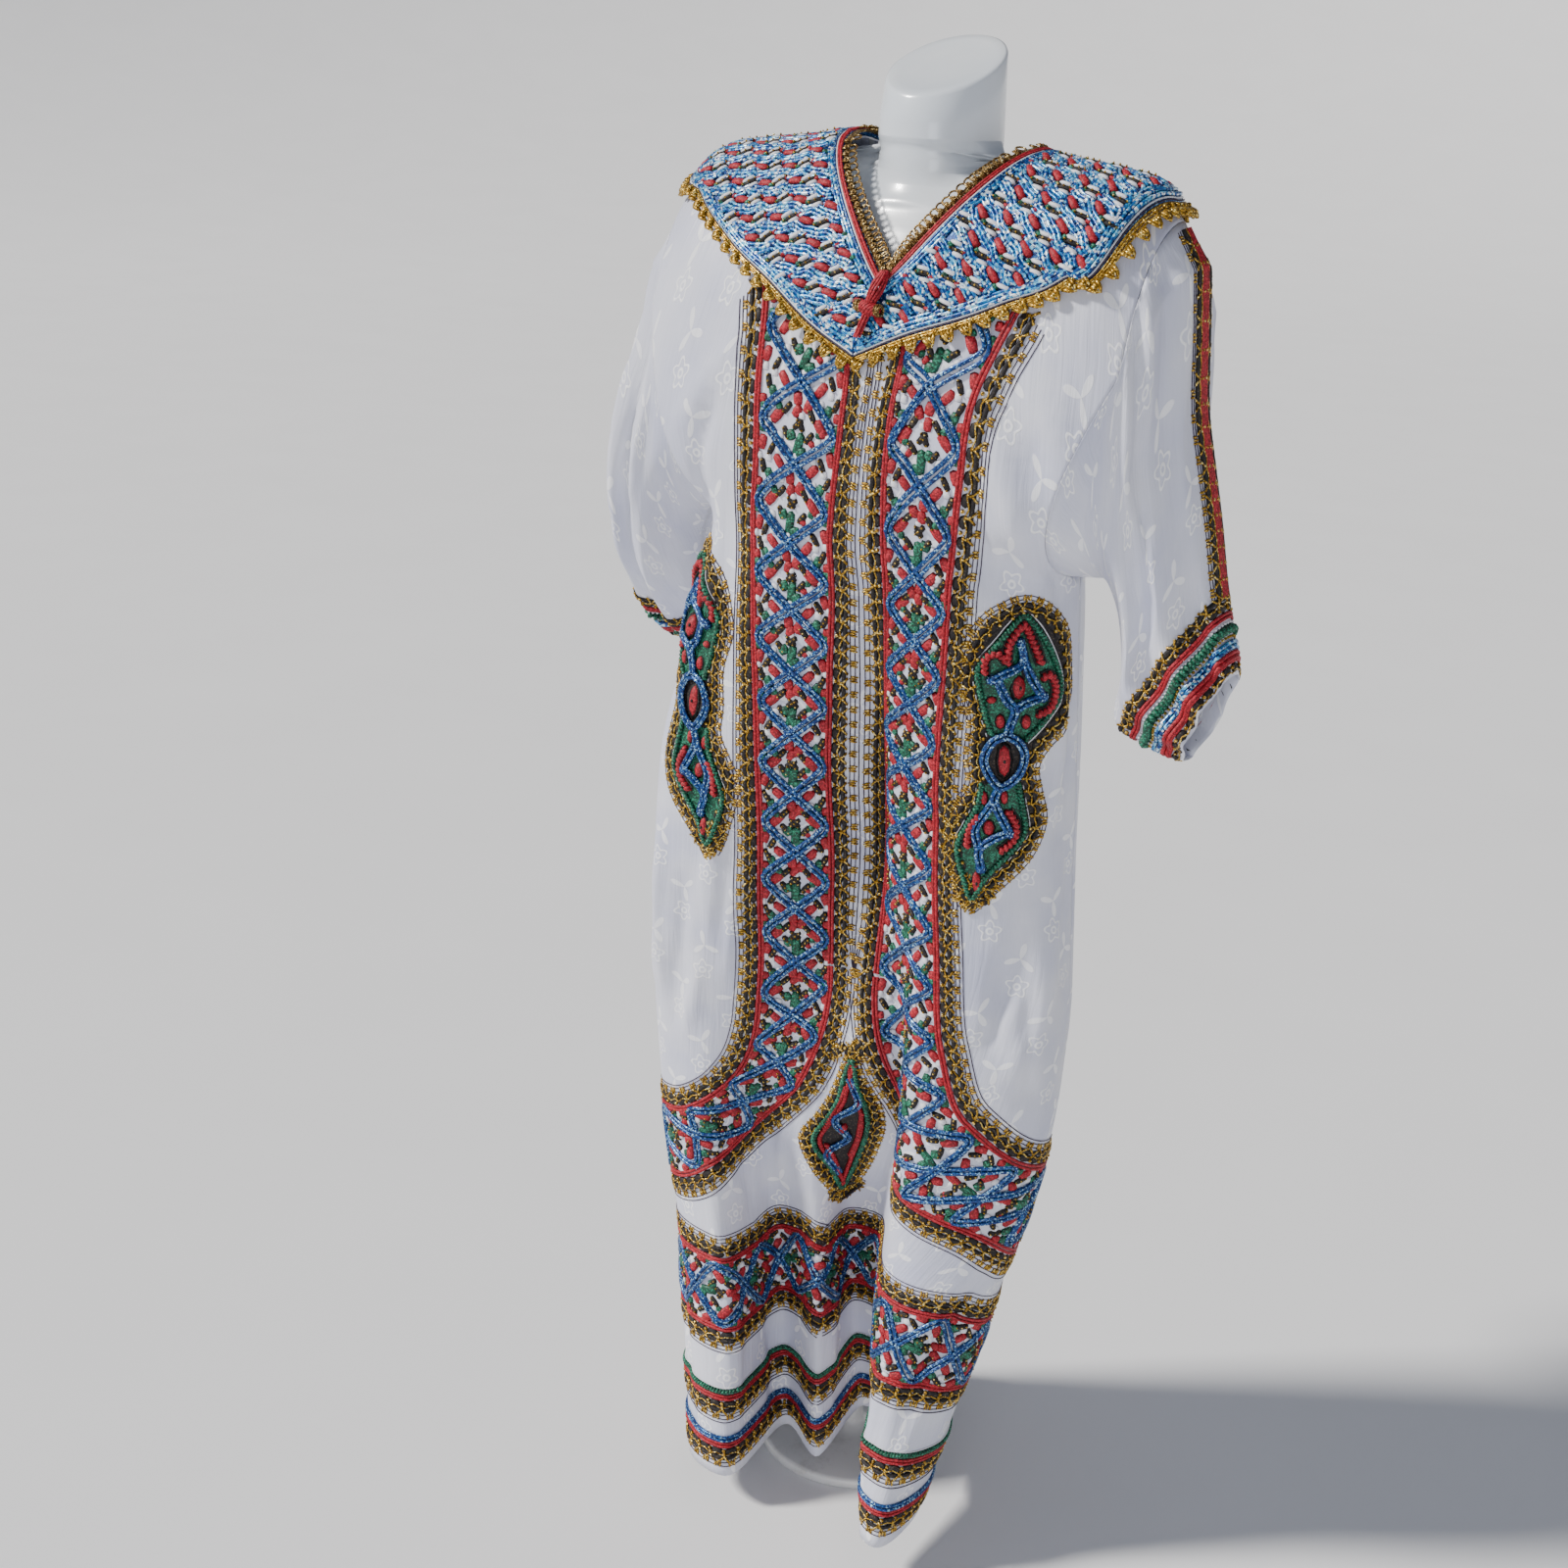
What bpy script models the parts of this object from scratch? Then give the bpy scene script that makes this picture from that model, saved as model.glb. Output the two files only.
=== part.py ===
"""A kaftan on a limbless dress form. Metres, +Z up, the front faces -Y, the wearer's left is +X.

The body hangs from the shoulders: FOLDS gives the plan of the cloth at five heights, one row per
crest, valley or side, and the shoulders above follow a shell worked out from SHOULDER and the two
chest depths. Every cloth piece is a thin closed wall between its outer points and the same points
moved in by its thickness.
"""
from functools import lru_cache
from math import acos, cos, pi, radians, sin

import bpy
import numpy as np

CLOTH = 0.0015            # wall of the damask cloth
COLLAR_CLOTH = 0.0025     # wall of the stiff embroidered collar
SEAM = 0.0003             # room left at a seam between two pieces
HEM, KNEE, THIGH, WAIST, CHEST = 0.04, 0.30, 0.48, 0.80, 1.075
CHEST_TOP = 1.20          # height where the shoulder shell begins
SHOULDER_TIP = 0.258      # half width of the body at the shoulder
FRONT_DEPTH, BACK_DEPTH = 0.138, 0.118
NECK_SIDE = 0.097         # half width of the neckline at the shoulder
NECK_POINT, NECK_BACK = 1.333, 1.405
NECK_SHIFT, POINT_SHIFT = 0.012, 0.018   # the neckline, and its point more so, sit to the wearer's left
FRONT_COLUMNS, BACK_COLUMNS = 42, 27

# name, rise of the hem line there, then the plan at the hem, knee, thigh, waist and chest
FOLDS = [
    ("back centre", 0.000,
     (-0.100, 0.145), (-0.030, 0.150), (-0.010, 0.145), (0.000, 0.140), (0.000, 0.122)),
    ("back pleat, left", 0.012,
     (-0.020, 0.100), (0.045, 0.112), (0.065, 0.120), (0.080, 0.128), (0.075, 0.117)),
    ("back, left", 0.000,
     (0.050, 0.095), (0.100, 0.110), (0.132, 0.110), (0.140, 0.110), (0.140, 0.090)),
    ("side seam, left", 0.000,
     (0.100, 0.000), (0.158, 0.040), (0.203, 0.030), (0.198, 0.025), (0.190, 0.000)),
    ("front, left", 0.000,
     (0.141, -0.075), (0.181, -0.040), (0.213, -0.035), (0.196, -0.035), (0.180, -0.060)),
    ("crest beside the deep fold", 0.000,
     (0.139, -0.150), (0.128, -0.085), (0.132, -0.085), (0.135, -0.082), (0.120, -0.110)),
    ("inner side of the crest", 0.000,
     (0.114, -0.145), (0.082, -0.080), (0.092, -0.082), (0.095, -0.085), (0.090, -0.115)),
    ("deep fold, far wall", 0.040,
     (0.060, -0.010), (0.012, 0.015), (0.055, -0.030), (0.046, -0.070), (0.060, -0.117)),
    ("deep fold, near wall", 0.040,
     (0.015, 0.000), (-0.030, 0.018), (0.012, -0.050), (0.030, -0.052), (0.030, -0.123)),
    ("crest of the middle", 0.005,
     (0.005, -0.070), (-0.035, -0.035), (-0.040, -0.060), (-0.005, -0.080), (0.000, -0.127)),
    ("valley of the middle", 0.008,
     (-0.055, -0.045), (-0.095, -0.030), (-0.090, -0.070), (-0.060, -0.110), (-0.050, -0.130)),
    ("crest of the right", 0.000,
     (-0.055, -0.155), (-0.112, -0.110), (-0.152, -0.110), (-0.120, -0.132), (-0.105, -0.124)),
    ("corner of the right", 0.000,
     (-0.110, -0.150), (-0.180, -0.100), (-0.220, -0.092), (-0.208, -0.120), (-0.175, -0.090)),
    ("side seam, right", 0.000,
     (-0.160, -0.050), (-0.210, -0.020), (-0.240, -0.020), (-0.240, -0.030), (-0.205, 0.000)),
    ("back, right", 0.000,
     (-0.175, 0.060), (-0.170, 0.080), (-0.180, 0.080), (-0.170, 0.090), (-0.160, 0.080)),
    ("back pleat, right", 0.010,
     (-0.140, 0.110), (-0.095, 0.100), (-0.090, 0.125), (-0.085, 0.128), (-0.080, 0.115)),
]
FOLD_HEIGHTS = (HEM, KNEE, THIGH, WAIST, CHEST)
SEAM_LEFT, SEAM_RIGHT = 3, 13

# x, height of the shoulder line there
SHOULDER = [(0.000, 1.4520), (0.093, 1.4505), (0.125, 1.4430), (0.160, 1.4380), (0.200, 1.4330),
            (0.235, 1.4235), (SHOULDER_TIP, 1.4030), (0.285, 1.3900)]

# height, half width, front depth, back depth, depth of the neck's root
FORM = [
    (0.980, 0.122, 0.085, 0.080, 0.0000), (1.020, 0.125, 0.088, 0.082, 0.0000),
    (1.100, 0.140, 0.100, 0.090, 0.0000), (1.200, 0.165, 0.120, 0.103, 0.0000),
    (1.280, 0.176, 0.116, 0.100, 0.0000), (1.340, 0.179, 0.100, 0.087, 0.0000),
    (1.375, 0.178, 0.082, 0.072, 0.0000), (1.400, 0.175, 0.066, 0.058, 0.0575),
    (1.415, 0.170, 0.050, 0.043, 0.0572), (1.427, 0.163, 0.031, 0.026, 0.0570),
    (1.4335, 0.154, 0.010, 0.010, 0.0568),
]
NECK_RADIUS = 0.0555
NECK_CENTRE = 0.003
NECK_TOP, NECK_SLANT = 1.5215, 0.50
POST = (-0.025, 0.045)    # plan of the stand's post, behind the deep fold
COLOURS = {
    "cloth": ((0.86, 0.86, 0.90), 0.45, 0.0), "collar": ((0.16, 0.33, 0.62), 0.45, 0.2),
    "gold": ((0.72, 0.53, 0.16), 0.35, 0.8), "red": ((0.72, 0.06, 0.08), 0.7, 0.0),
    "form": ((0.86, 0.88, 0.90), 0.45, 0.0), "stand": ((0.88, 0.88, 0.87), 0.4, 0.0),
}


# Curves through the tables

def along(height, heights, rows):
    """A smooth curve through rows, one per height."""
    height = min(max(height, heights[0]), heights[-1])
    i = min(max(int(np.searchsorted(heights, height)) - 1, 0), len(heights) - 2)

    def slope(k):
        if k == 0:
            return (rows[1] - rows[0]) / (heights[1] - heights[0])
        if k == len(heights) - 1:
            return (rows[k] - rows[k - 1]) / (heights[k] - heights[k - 1])
        below, above = heights[k] - heights[k - 1], heights[k + 1] - heights[k]
        before, after = (rows[k] - rows[k - 1]) / below, (rows[k + 1] - rows[k]) / above
        return (before * above + after * below) / (below + above)

    step = heights[i + 1] - heights[i]
    t = (height - heights[i]) / step
    return ((2 * t**3 - 3 * t**2 + 1) * rows[i] + (t**3 - 2 * t**2 + t) * step * slope(i)
            + (3 * t**2 - 2 * t**3) * rows[i + 1] + (t**3 - t**2) * step * slope(i + 1))


PLANS = np.array([[row[k] for row in FOLDS] for k in range(2, 7)])
RISES = np.array([row[1] for row in FOLDS] + [FOLDS[0][1]])


@lru_cache(maxsize=None)
def ring(height, steps=16):
    """The closed plan curve of the cloth at a height: fold numbers, points."""
    plan = along(height, FOLD_HEIGHTS, PLANS)
    count = len(plan)
    gap = np.sqrt(np.linalg.norm(np.roll(plan, -1, 0) - plan, axis=1))
    numbers, points = [], []
    for i in range(count):
        a, b, c, d = plan[i - 1], plan[i], plan[(i + 1) % count], plan[(i + 2) % count]
        before, here, after = gap[i - 1], gap[i], gap[(i + 1) % count]
        start = here * ((b - a) / before - (c - a) / (before + here) + (c - b) / here)
        end = here * ((c - b) / here - (d - b) / (here + after) + (d - c) / after)
        for t in np.arange(steps) / steps:
            numbers.append(i + t)
            points.append((2 * t**3 - 3 * t**2 + 1) * b + (t**3 - 2 * t**2 + t) * start
                          + (3 * t**2 - 2 * t**3) * c + (t**3 - t**2) * end)
    return np.array(numbers + [count]), np.array(points + [points[0]])


@lru_cache(maxsize=None)
def measured(height):
    """Twice round the ring: fold numbers, points and the length run from its start."""
    numbers, points = ring(height)
    numbers = np.concatenate([numbers, numbers[1:] + len(FOLDS)])
    points = np.concatenate([points, points[1:]])
    run = np.concatenate([[0.0], np.cumsum(np.linalg.norm(np.diff(points, axis=0), axis=1))])
    return numbers, points, run


def stretch(height, shares, first, last):
    """Points at even shares of the cloth's run from one fold number to another, at a height."""
    numbers, points, run = measured(round(height, 6))
    start, end = np.interp([first, last], numbers, run)
    at = start + (end - start) * np.asarray(shares)
    fold = np.interp(at, run, numbers) % len(FOLDS)
    fade = max(0.0, (KNEE - height) / (KNEE - HEM)) ** 1.5
    rise = np.interp(fold, np.arange(len(FOLDS) + 1), RISES) * fade
    return np.stack([np.interp(at, run, points[:, 0]), np.interp(at, run, points[:, 1]), height + rise], -1)


# The shoulders: a point is set by x and by an angle, 0 on the shoulder line and a right angle at the chest

def shoulder_height(x):
    table = np.array(SHOULDER)
    return along(min(abs(x), table[-1, 0]), table[:, 0], table[:, 1])


def depth(x, front):
    return (FRONT_DEPTH if front else BACK_DEPTH) * max(0.0, 1 - (abs(x) / 0.31) ** 3) ** (1 / 3)


def shell(x, angle, front=True):
    return np.array([x, (-1 if front else 1) * depth(x, front) * sin(angle),
                     CHEST_TOP + (shoulder_height(x) - CHEST_TOP) * cos(angle)])


def shell_angle(x, height):
    return acos(min(1.0, max(0.0, (height - CHEST_TOP) / (shoulder_height(x) - CHEST_TOP))))


def armhole(turn, side, front):
    """The armhole seam: turn 0 at its foot, 1 at the shoulder; side +1 is the wearer's left."""
    seam = SEAM_LEFT if side > 0 else SEAM_RIGHT
    foot = stretch(CHEST, [0.0], seam, seam + 1)[0]
    top = shoulder_height(SHOULDER_TIP)
    height = (top + CHEST) / 2 - (top - CHEST) / 2 * cos(pi * turn)
    rise = min(1.0, max(0.0, (height - CHEST) / 0.20))
    x = abs(foot[0]) + (SHOULDER_TIP - abs(foot[0])) * rise ** 1.2
    if front:
        reach = top - CHEST_TOP if height > CHEST_TOP else CHEST_TOP - CHEST
        y = -depth(x, True) * max(0.0, 1 - ((height - CHEST_TOP) / reach) ** 2) ** 0.5
    else:
        bow = max(0.0, sin(pi * turn)) ** 0.8
        x, y = x - 0.030 * bow, 0.050 * bow
    return np.array([side * x, y + foot[1] * (1 - turn), height])


def neckline(x, front):
    """Height of the neckline x from its middle."""
    share = min(1.0, abs(x) / NECK_SIDE)
    side = shoulder_height(NECK_SHIFT + (NECK_SIDE if x > 0 else -NECK_SIDE))
    if front:
        return NECK_POINT + (side - NECK_POINT) * share
    return NECK_BACK + (side - NECK_BACK) * share ** 2.2


def neck_shift(x, front):
    beyond = max(0.0, abs(x) - NECK_SIDE) / (SHOULDER_TIP - NECK_SIDE)
    return NECK_SHIFT * (1 - beyond) + (POINT_SHIFT * max(0.0, 1 - abs(x) / NECK_SIDE) if front else 0.0)


@lru_cache(maxsize=None)
def chest_cut(turn, side, front):
    """The fold number where the chest ring lies as far forward or back as the armhole does."""
    seam = SEAM_LEFT if side > 0 else SEAM_RIGHT
    folds = seam + (2 if front == (side > 0) else -2) * np.linspace(0, 1, 33)
    numbers, points = ring(CHEST)
    reach = np.maximum.accumulate(abs(np.interp(folds % len(FOLDS), numbers, points[:, 1])))
    return float(np.interp(abs(armhole(min(turn, 0.55), side, front)[1]), reach, folds))


@lru_cache(maxsize=None)
def chest_row(share, turn, front):
    """The chest ring between the armholes, as wide as the body is at that turn of them."""
    left, right = chest_cut(turn, 1, front), chest_cut(turn, -1, front)
    first, last = (left, right) if front else (right, left + len(FOLDS))
    return stretch(CHEST, [1 - share], first, last)[0]


def yoke(share, rise, front):
    """The body above the chest: share 0 to 1 from armhole to armhole, rise 0 to 1 from chest to edge."""
    sign = -1 if front else 1                     # share 0 is the wearer's right on the front
    turn = round(float(2 / pi * np.arcsin(np.sqrt(np.clip(rise, 0, 1)))), 7)
    base = chest_row(round(share, 7), turn, front)
    tops = (SHOULDER_TIP, NECK_SIDE, -NECK_SIDE, -SHOULDER_TIP)
    x_top = sign * np.interp(share, (0, 1 / 3, 2 / 3, 1), tops)
    x = x_top + neck_shift(x_top, front)
    top = np.array([x, neckline(x_top, front) if abs(x_top) < NECK_SIDE else shoulder_height(x)])
    feet = [chest_row(end, turn, front) for end in (0.0, 1.0)]
    ends = [armhole(turn, side, front) for side in (sign, -sign)]
    tips = [armhole(1.0, side, front) for side in (sign, -sign)]
    flat = (1 - rise) * base[[0, 2]] + rise * top
    for weight, end, foot, tip in zip((1 - share, share), ends, feet, tips):
        flat = flat + weight * (end[[0, 2]] - (1 - rise) * foot[[0, 2]] - rise * tip[[0, 2]])

    def surface(x, height):
        return sign * depth(x, front) * (sin(shell_angle(x, height)) if height > CHEST_TOP else 1.0)

    blend = min(1.0, rise / 0.35)
    blend = blend * blend * (3 - 2 * blend)
    y = (1 - blend) * base[1] + blend * surface(*flat)
    end, foot = (ends[1], feet[1]) if share > 0.5 else (ends[0], feet[0])
    y_end = (1 - blend) * foot[1] + blend * surface(end[0], end[2])
    return np.array([flat[0], y + abs(2 * share - 1) ** 8 * (end[1] - y_end), flat[1]])


# Building the solids

def wall(name, outer, normals, thickness, colour, closed=False):
    """A closed wall: a grid of outer points, and the same points moved in."""
    outer = np.asarray(outer)
    rows, columns = outer.shape[:2]
    inner = outer - np.asarray(normals) * thickness
    points = np.concatenate([outer.reshape(-1, 3), inner.reshape(-1, 3)])
    half = rows * columns
    faces = []
    across = columns if closed else columns - 1
    for i in range(rows - 1):
        for j in range(across):
            k = (j + 1) % columns
            a, b, c, d = i * columns + j, i * columns + k, (i + 1) * columns + k, (i + 1) * columns + j
            if np.linalg.norm(points[a] - points[c]) > np.linalg.norm(points[b] - points[d]):
                a, b, c, d = b, c, d, a               # both faces are split along the shorter diagonal
            faces += [(a, b, c), (a, c, d), (half + c, half + b, half + a), (half + d, half + c, half + a)]
    edge = [(0, j, (j + 1) % columns) for j in range(across)]
    edge += [(rows - 1, (j + 1) % columns, j) for j in range(across)]
    for i, j, k in edge:
        a, b = i * columns + j, i * columns + k
        faces.append((b, a, half + a, half + b))
    if not closed:
        for i in range(rows - 1):
            a, b = i * columns, (i + 1) * columns
            faces.append((a, b, half + b, half + a))
            a, b = a + columns - 1, b + columns - 1
            faces.append((b, a, half + a, half + b))
    return solid(name, points, faces, colour)


def solid(name, points, faces, colour):
    mesh = bpy.data.meshes.new(name)
    mesh.from_pydata([tuple(p) for p in points], [], faces)
    mesh.update()
    piece = bpy.data.objects.new(name, mesh)
    GARMENT.objects.link(piece)
    tint, roughness, metallic = COLOURS[colour]
    material = bpy.data.materials.new(name)
    material.use_nodes = True
    shader = material.node_tree.nodes["Principled BSDF"]
    shader.inputs["Base Color"].default_value = (*tint, 1.0)
    shader.inputs["Roughness"].default_value = roughness
    shader.inputs["Metallic"].default_value = metallic
    mesh.materials.append(material)
    return piece


def tube(name, points, sides, colour):
    """A closed body of stacked rings, each with the same number of sides."""
    faces = []
    for a in range(0, len(points) - sides, sides):
        for k in range(sides):
            after = (k + 1) % sides
            faces.append((a + k, a + after, a + sides + after, a + sides + k))
    last = len(points) - sides
    faces += [tuple(range(sides))[::-1], tuple(range(last, last + sides))]
    return solid(name, points, faces, colour)


def normal_of(point_at, share, level, reach=0.004):
    """The outward normal of point_at(share, level), from points close by in the same part of the body."""
    across = point_at(share + reach, level) - point_at(share - reach, level)
    top = 1.0 if level <= 1.0 else 2.0
    up = point_at(share, min(top, level + reach)) - point_at(share, max(0.0, level - reach))
    cross = np.cross(across, up)
    return cross / np.linalg.norm(cross)


GARMENT = bpy.data.collections.new("kaftan_on_dress_form")
for old in list(bpy.data.objects):
    bpy.data.objects.remove(old, do_unlink=True)
bpy.context.scene.collection.children.link(GARMENT)


# Front and back, each cut in one length from shoulder to hem

SKIRT_ROWS = [HEM, 0.085, 0.135, 0.19, 0.245, 0.30, 0.37, 0.44, 0.52, 0.60, 0.69, 0.78, 0.88, 0.98]
ARM_ROWS = 9                                   # rows of the yoke, and of each side of the armhole
YOKE_ROWS = [sin(pi * k / (2 * ARM_ROWS)) ** 2 for k in range(ARM_ROWS + 1)]


def body_point(share, level, front):
    """level below 1 is a share of the skirt's height, above 1 the yoke."""
    if level > 1:
        return yoke(share, min(1.0, level - 1), front)
    height = HEM + (CHEST - HEM) * level
    if front:
        return stretch(height, [1 - share], SEAM_LEFT, SEAM_RIGHT)[0]
    return stretch(height, [1 - share], SEAM_RIGHT, SEAM_LEFT + len(FOLDS))[0]


def panel(name, columns, front):
    levels = [(z - HEM) / (CHEST - HEM) for z in SKIRT_ROWS] + [1 + r for r in YOKE_ROWS]
    trim = SEAM / 2 / 0.6
    shares = np.linspace(trim, 1 - trim, columns + 1)
    outer, normals = [], []
    for level in levels:
        points, ups = [], []
        for share in shares:
            points.append(body_point(share, level, front))
            ups.append(normal_of(lambda at, rise: body_point(at, rise, front), share, level))
        outer.append(points)
        normals.append(ups)
    outer, normals = np.array(outer), np.array(normals)
    outer[-1, :, 1] += (-1 if front else 1) * SEAM / 2
    normals[-1, :, 1] = 0.0                       # both walls end square at the shoulder seam
    normals[len(SKIRT_ROWS) + 1:, [0, -1], 0] = 0.0   # and at the armholes
    normals /= np.linalg.norm(normals, axis=2, keepdims=True)
    return wall(name, outer, normals, CLOTH, "cloth")


panel("front_panel", FRONT_COLUMNS, True)
panel("back_panel", BACK_COLUMNS, False)


# Sleeves, each one folded width with its seam underneath: top fold, under fold, depth in front and
# behind, and how many degrees the sleeve has swung back there

LEFT_SLEEVE = [
    ((0.281, 0.000, 1.366), (0.217, 0.000, 1.078), 0.096, 0.052, 0),
    ((0.287, 0.000, 1.310), (0.228, 0.000, 1.079), 0.090, 0.046, 0),
    ((0.294, 0.000, 1.245), (0.238, 0.000, 1.070), 0.082, 0.040, 0),
    ((0.308, 0.000, 1.190), (0.248, 0.000, 1.040), 0.072, 0.036, 0),
    ((0.321, 0.000, 1.142), (0.252, 0.000, 0.992), 0.062, 0.032, 0),
    ((0.333, 0.000, 1.092), (0.248, 0.000, 0.945), 0.052, 0.030, 0),
    ((0.345, 0.000, 1.052), (0.281, 0.000, 0.931), 0.048, 0.028, 0),
    ((0.356, 0.000, 1.012), (0.321, 0.000, 0.923), 0.044, 0.026, 0),
]
RIGHT_SLEEVE = [
    ((-0.277, 0.000, 1.370), (-0.220, 0.000, 1.078), 0.093, 0.056, 0),
    ((-0.291, 0.000, 1.305), (-0.236, 0.000, 1.075), 0.092, 0.054, 0),
    ((-0.317, 0.000, 1.235), (-0.250, 0.004, 1.062), 0.092, 0.052, 0),
    ((-0.340, 0.000, 1.165), (-0.262, 0.010, 1.035), 0.089, 0.050, 5),
    ((-0.358, 0.002, 1.090), (-0.268, 0.020, 0.995), 0.080, 0.046, 14),
    ((-0.363, 0.016, 1.035), (-0.270, 0.034, 0.960), 0.066, 0.042, 24),
    ((-0.360, 0.040, 0.987), (-0.272, 0.060, 0.934), 0.056, 0.038, 34),
    ((-0.350, 0.068, 0.950), (-0.274, 0.088, 0.912), 0.048, 0.034, 42),
]
# place round the sleeve in degrees from the top fold over the front, half width, depth at the cuff
SLEEVE_FOLDS = [(48, 20, 0.010), (96, 18, 0.012), (140, 18, 0.008), (215, 22, 0.009), (290, 24, 0.008)]
SLEEVE_SIDES = 2 * ARM_ROWS


def sleeve_ring(rows, place, side):
    """Points round the sleeve at a place between 0, the armhole, and the last row, the cuff."""
    if place < 1:
        seam = [armhole(1 - k / ARM_ROWS, side, True) for k in range(ARM_ROWS + 1)]
        seam += [armhole(k / ARM_ROWS, side, False) for k in range(1, ARM_ROWS)]
        seam = np.array(seam) + np.array([side * SEAM, 0.0, 0.0])
        if place <= 0:
            return seam
        return seam + (sleeve_ring(rows, 1, side) - seam) * place
    table = np.array([[*top, *under, *rest] for top, under, *rest in rows])
    row = along(place - 1, np.arange(len(rows)), table)
    top, under, front, back, swing = row[:3], row[3:6], row[6], row[7], radians(row[8])
    growth = min(1.0, (place - 1) / 5)
    points = []
    for k in range(SLEEVE_SIDES):
        degrees = 360 * k / SLEEVE_SIDES
        turn = radians(degrees)
        dent = growth * sum(deep * max(0.0, 1 - ((degrees - at) / wide) ** 2)
                            for at, wide, deep in SLEEVE_FOLDS)
        across = (front if turn < pi else back) * abs(sin(turn)) ** 0.85
        across = across - dent if across > dent else across
        across = -across if turn < pi else across
        points.append((top + under) / 2 + (top - under) / 2 * cos(turn)
                      + across * np.array([0.0, cos(swing), sin(swing)]))
    return np.array(points)


def sleeve(name, rows, side):
    places = [0.0, 0.5] + list(range(1, len(rows) + 1))
    outer = np.array([sleeve_ring(rows, place, side) for place in places])
    around = np.roll(outer, -1, 1) - np.roll(outer, 1, 1)
    out = np.gradient(outer, axis=0)
    out[0] = (side, 0.0, 0.0)
    normals = np.cross(around, out) * side
    normals /= np.linalg.norm(normals, axis=2, keepdims=True)
    if side < 0:
        outer, normals = outer[:, ::-1], normals[:, ::-1]
    return wall(name, outer, normals, CLOTH, "cloth", closed=True)


sleeve("sleeve_left", LEFT_SLEEVE, 1)
sleeve("sleeve_right", RIGHT_SLEEVE, -1)


# Collar: a stiff cape in two halves, cut on the fold lines of the centre front and centre back

COLLAR_REACH_LEFT, COLLAR_REACH_RIGHT = 0.246, 0.272
COLLAR_MIDDLE = 0.012                                    # its point, to the wearer's left
COLLAR_BACK = radians(66)                                # shell angle of its edge at the centre back
COLLAR_LIFT = 0.0065                                     # outer face above the body's cloth
NECK_LIFT = 0.0014                                       # inner face above it where the two are sewn
EDGE_BEND = 1.9
COLLAR_STEPS, COLLAR_ROWS = 44, 6                         # one step for each point and loop of the braids
# share of the way out to the shoulder, shell angle of the front edge there, in degrees, left and right
COLLAR_FRONT = np.array([
    (0.00, 74.9, 74.9), (0.20, 69.8, 69.0), (0.40, 64.9, 60.1), (0.60, 58.2, 50.3), (0.80, 49.9, 36.5),
    (0.94, 35.8, 20.0), (1.00, 0.0, 0.0),
])


def collar_lines(turn, side):
    """Neck edge and outer edge, x and shell angle, at a turn: 0 centre front, a half turn centre back."""
    front = turn < pi / 2
    x = NECK_SIDE * side * (turn * 2 / pi if front else sin(turn))
    x_neck = x + neck_shift(x, front)
    out = min(1.0, sin(turn)) ** (2 / EDGE_BEND)
    reach = COLLAR_REACH_LEFT if side > 0 else -COLLAR_REACH_RIGHT
    if front:
        level = radians(along(out, COLLAR_FRONT[:, 0], COLLAR_FRONT[:, 1 if side > 0 else 2]))
    else:
        level = COLLAR_BACK * max(0.0, 1 - out ** EDGE_BEND) ** (1 / EDGE_BEND)
    return np.array([x_neck, shell_angle(x_neck, neckline(x, front))]), \
        np.array([COLLAR_MIDDLE + (reach - COLLAR_MIDDLE) * out, level])


def collar_point(turn, share, side, lift=COLLAR_LIFT):
    """A point on the collar; share 0 at the neck, 1 at the edge, and past either in proportion."""
    turn = min(max(turn, 0.0), pi)
    neck, edge = collar_lines(turn, side)
    x, angle = neck + (edge - neck) * share
    front = turn < pi / 2
    at = shell(x, angle, front)
    step = 1e-3
    run = shell(x + step, angle, front) - shell(x - step, angle, front)
    drop = shell(x, angle + step, front) - shell(x, angle - step, front)
    up = np.cross(drop, run) * (1 if front else -1)
    return at + up / np.linalg.norm(up) * lift


def collar_turns(side):
    """Turns that space the points along the neck edge and the outer edge as evenly as both allow."""
    fine = np.linspace(0, pi, 181)
    turns = []
    for share in (0.0, 1.0):
        points = np.array([collar_point(turn, share, side) for turn in fine])
        run = np.concatenate([[0], np.cumsum(np.linalg.norm(np.diff(points, axis=0), axis=1))])
        turns.append(np.interp(np.linspace(0, run[-1], COLLAR_STEPS + 1), run, fine))
    return (turns[0] + turns[1]) / 2


def strip_point(turn, way, side, lift):
    """A point a way outside the collar's edge, or inside its neckline if the way is negative."""
    neck, edge = (collar_point(turn, share, side) for share in (0.0, 1.0))
    share = (1 if way > 0 else 0) + way / (np.linalg.norm(edge - neck) * 1.06)
    return collar_point(turn, share, side, lift)


def collar_half(name, side):
    """Its neck edge is turned down and sewn to the neckline of the body."""
    turns, shares = collar_turns(side), np.linspace(0, 1, COLLAR_ROWS + 1)
    lifts = [NECK_LIFT] + [COLLAR_LIFT - COLLAR_CLOTH] * COLLAR_ROWS
    outer = np.array([[collar_point(turn, share, side) for share in shares] for turn in turns])
    inner = np.array([[collar_point(turn, share, side, lift) for share, lift in zip(shares, lifts)]
                      for turn in turns])
    sheet(name, outer, inner, side, "collar")


def sheet(name, outer, inner, side, colour):
    """A wall between two grids, parted from its other half at the centre front and centre back."""
    for grid in (outer, inner):
        grid[[0, -1], :, 0] += side * SEAM / 2
    if side < 0:
        outer, inner = outer[:, ::-1], inner[:, ::-1]
    wall(name, outer, outer - inner, 1.0, colour)


collar_half("collar_left", 1)
collar_half("collar_right", -1)


# Picot braid round the collar's edge: a narrow tape whose free edge is a row of points

BRAID_WIDTH, BRAID_TAPE, BRAID_CLOTH = 0.014, 0.006, 0.002


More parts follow.
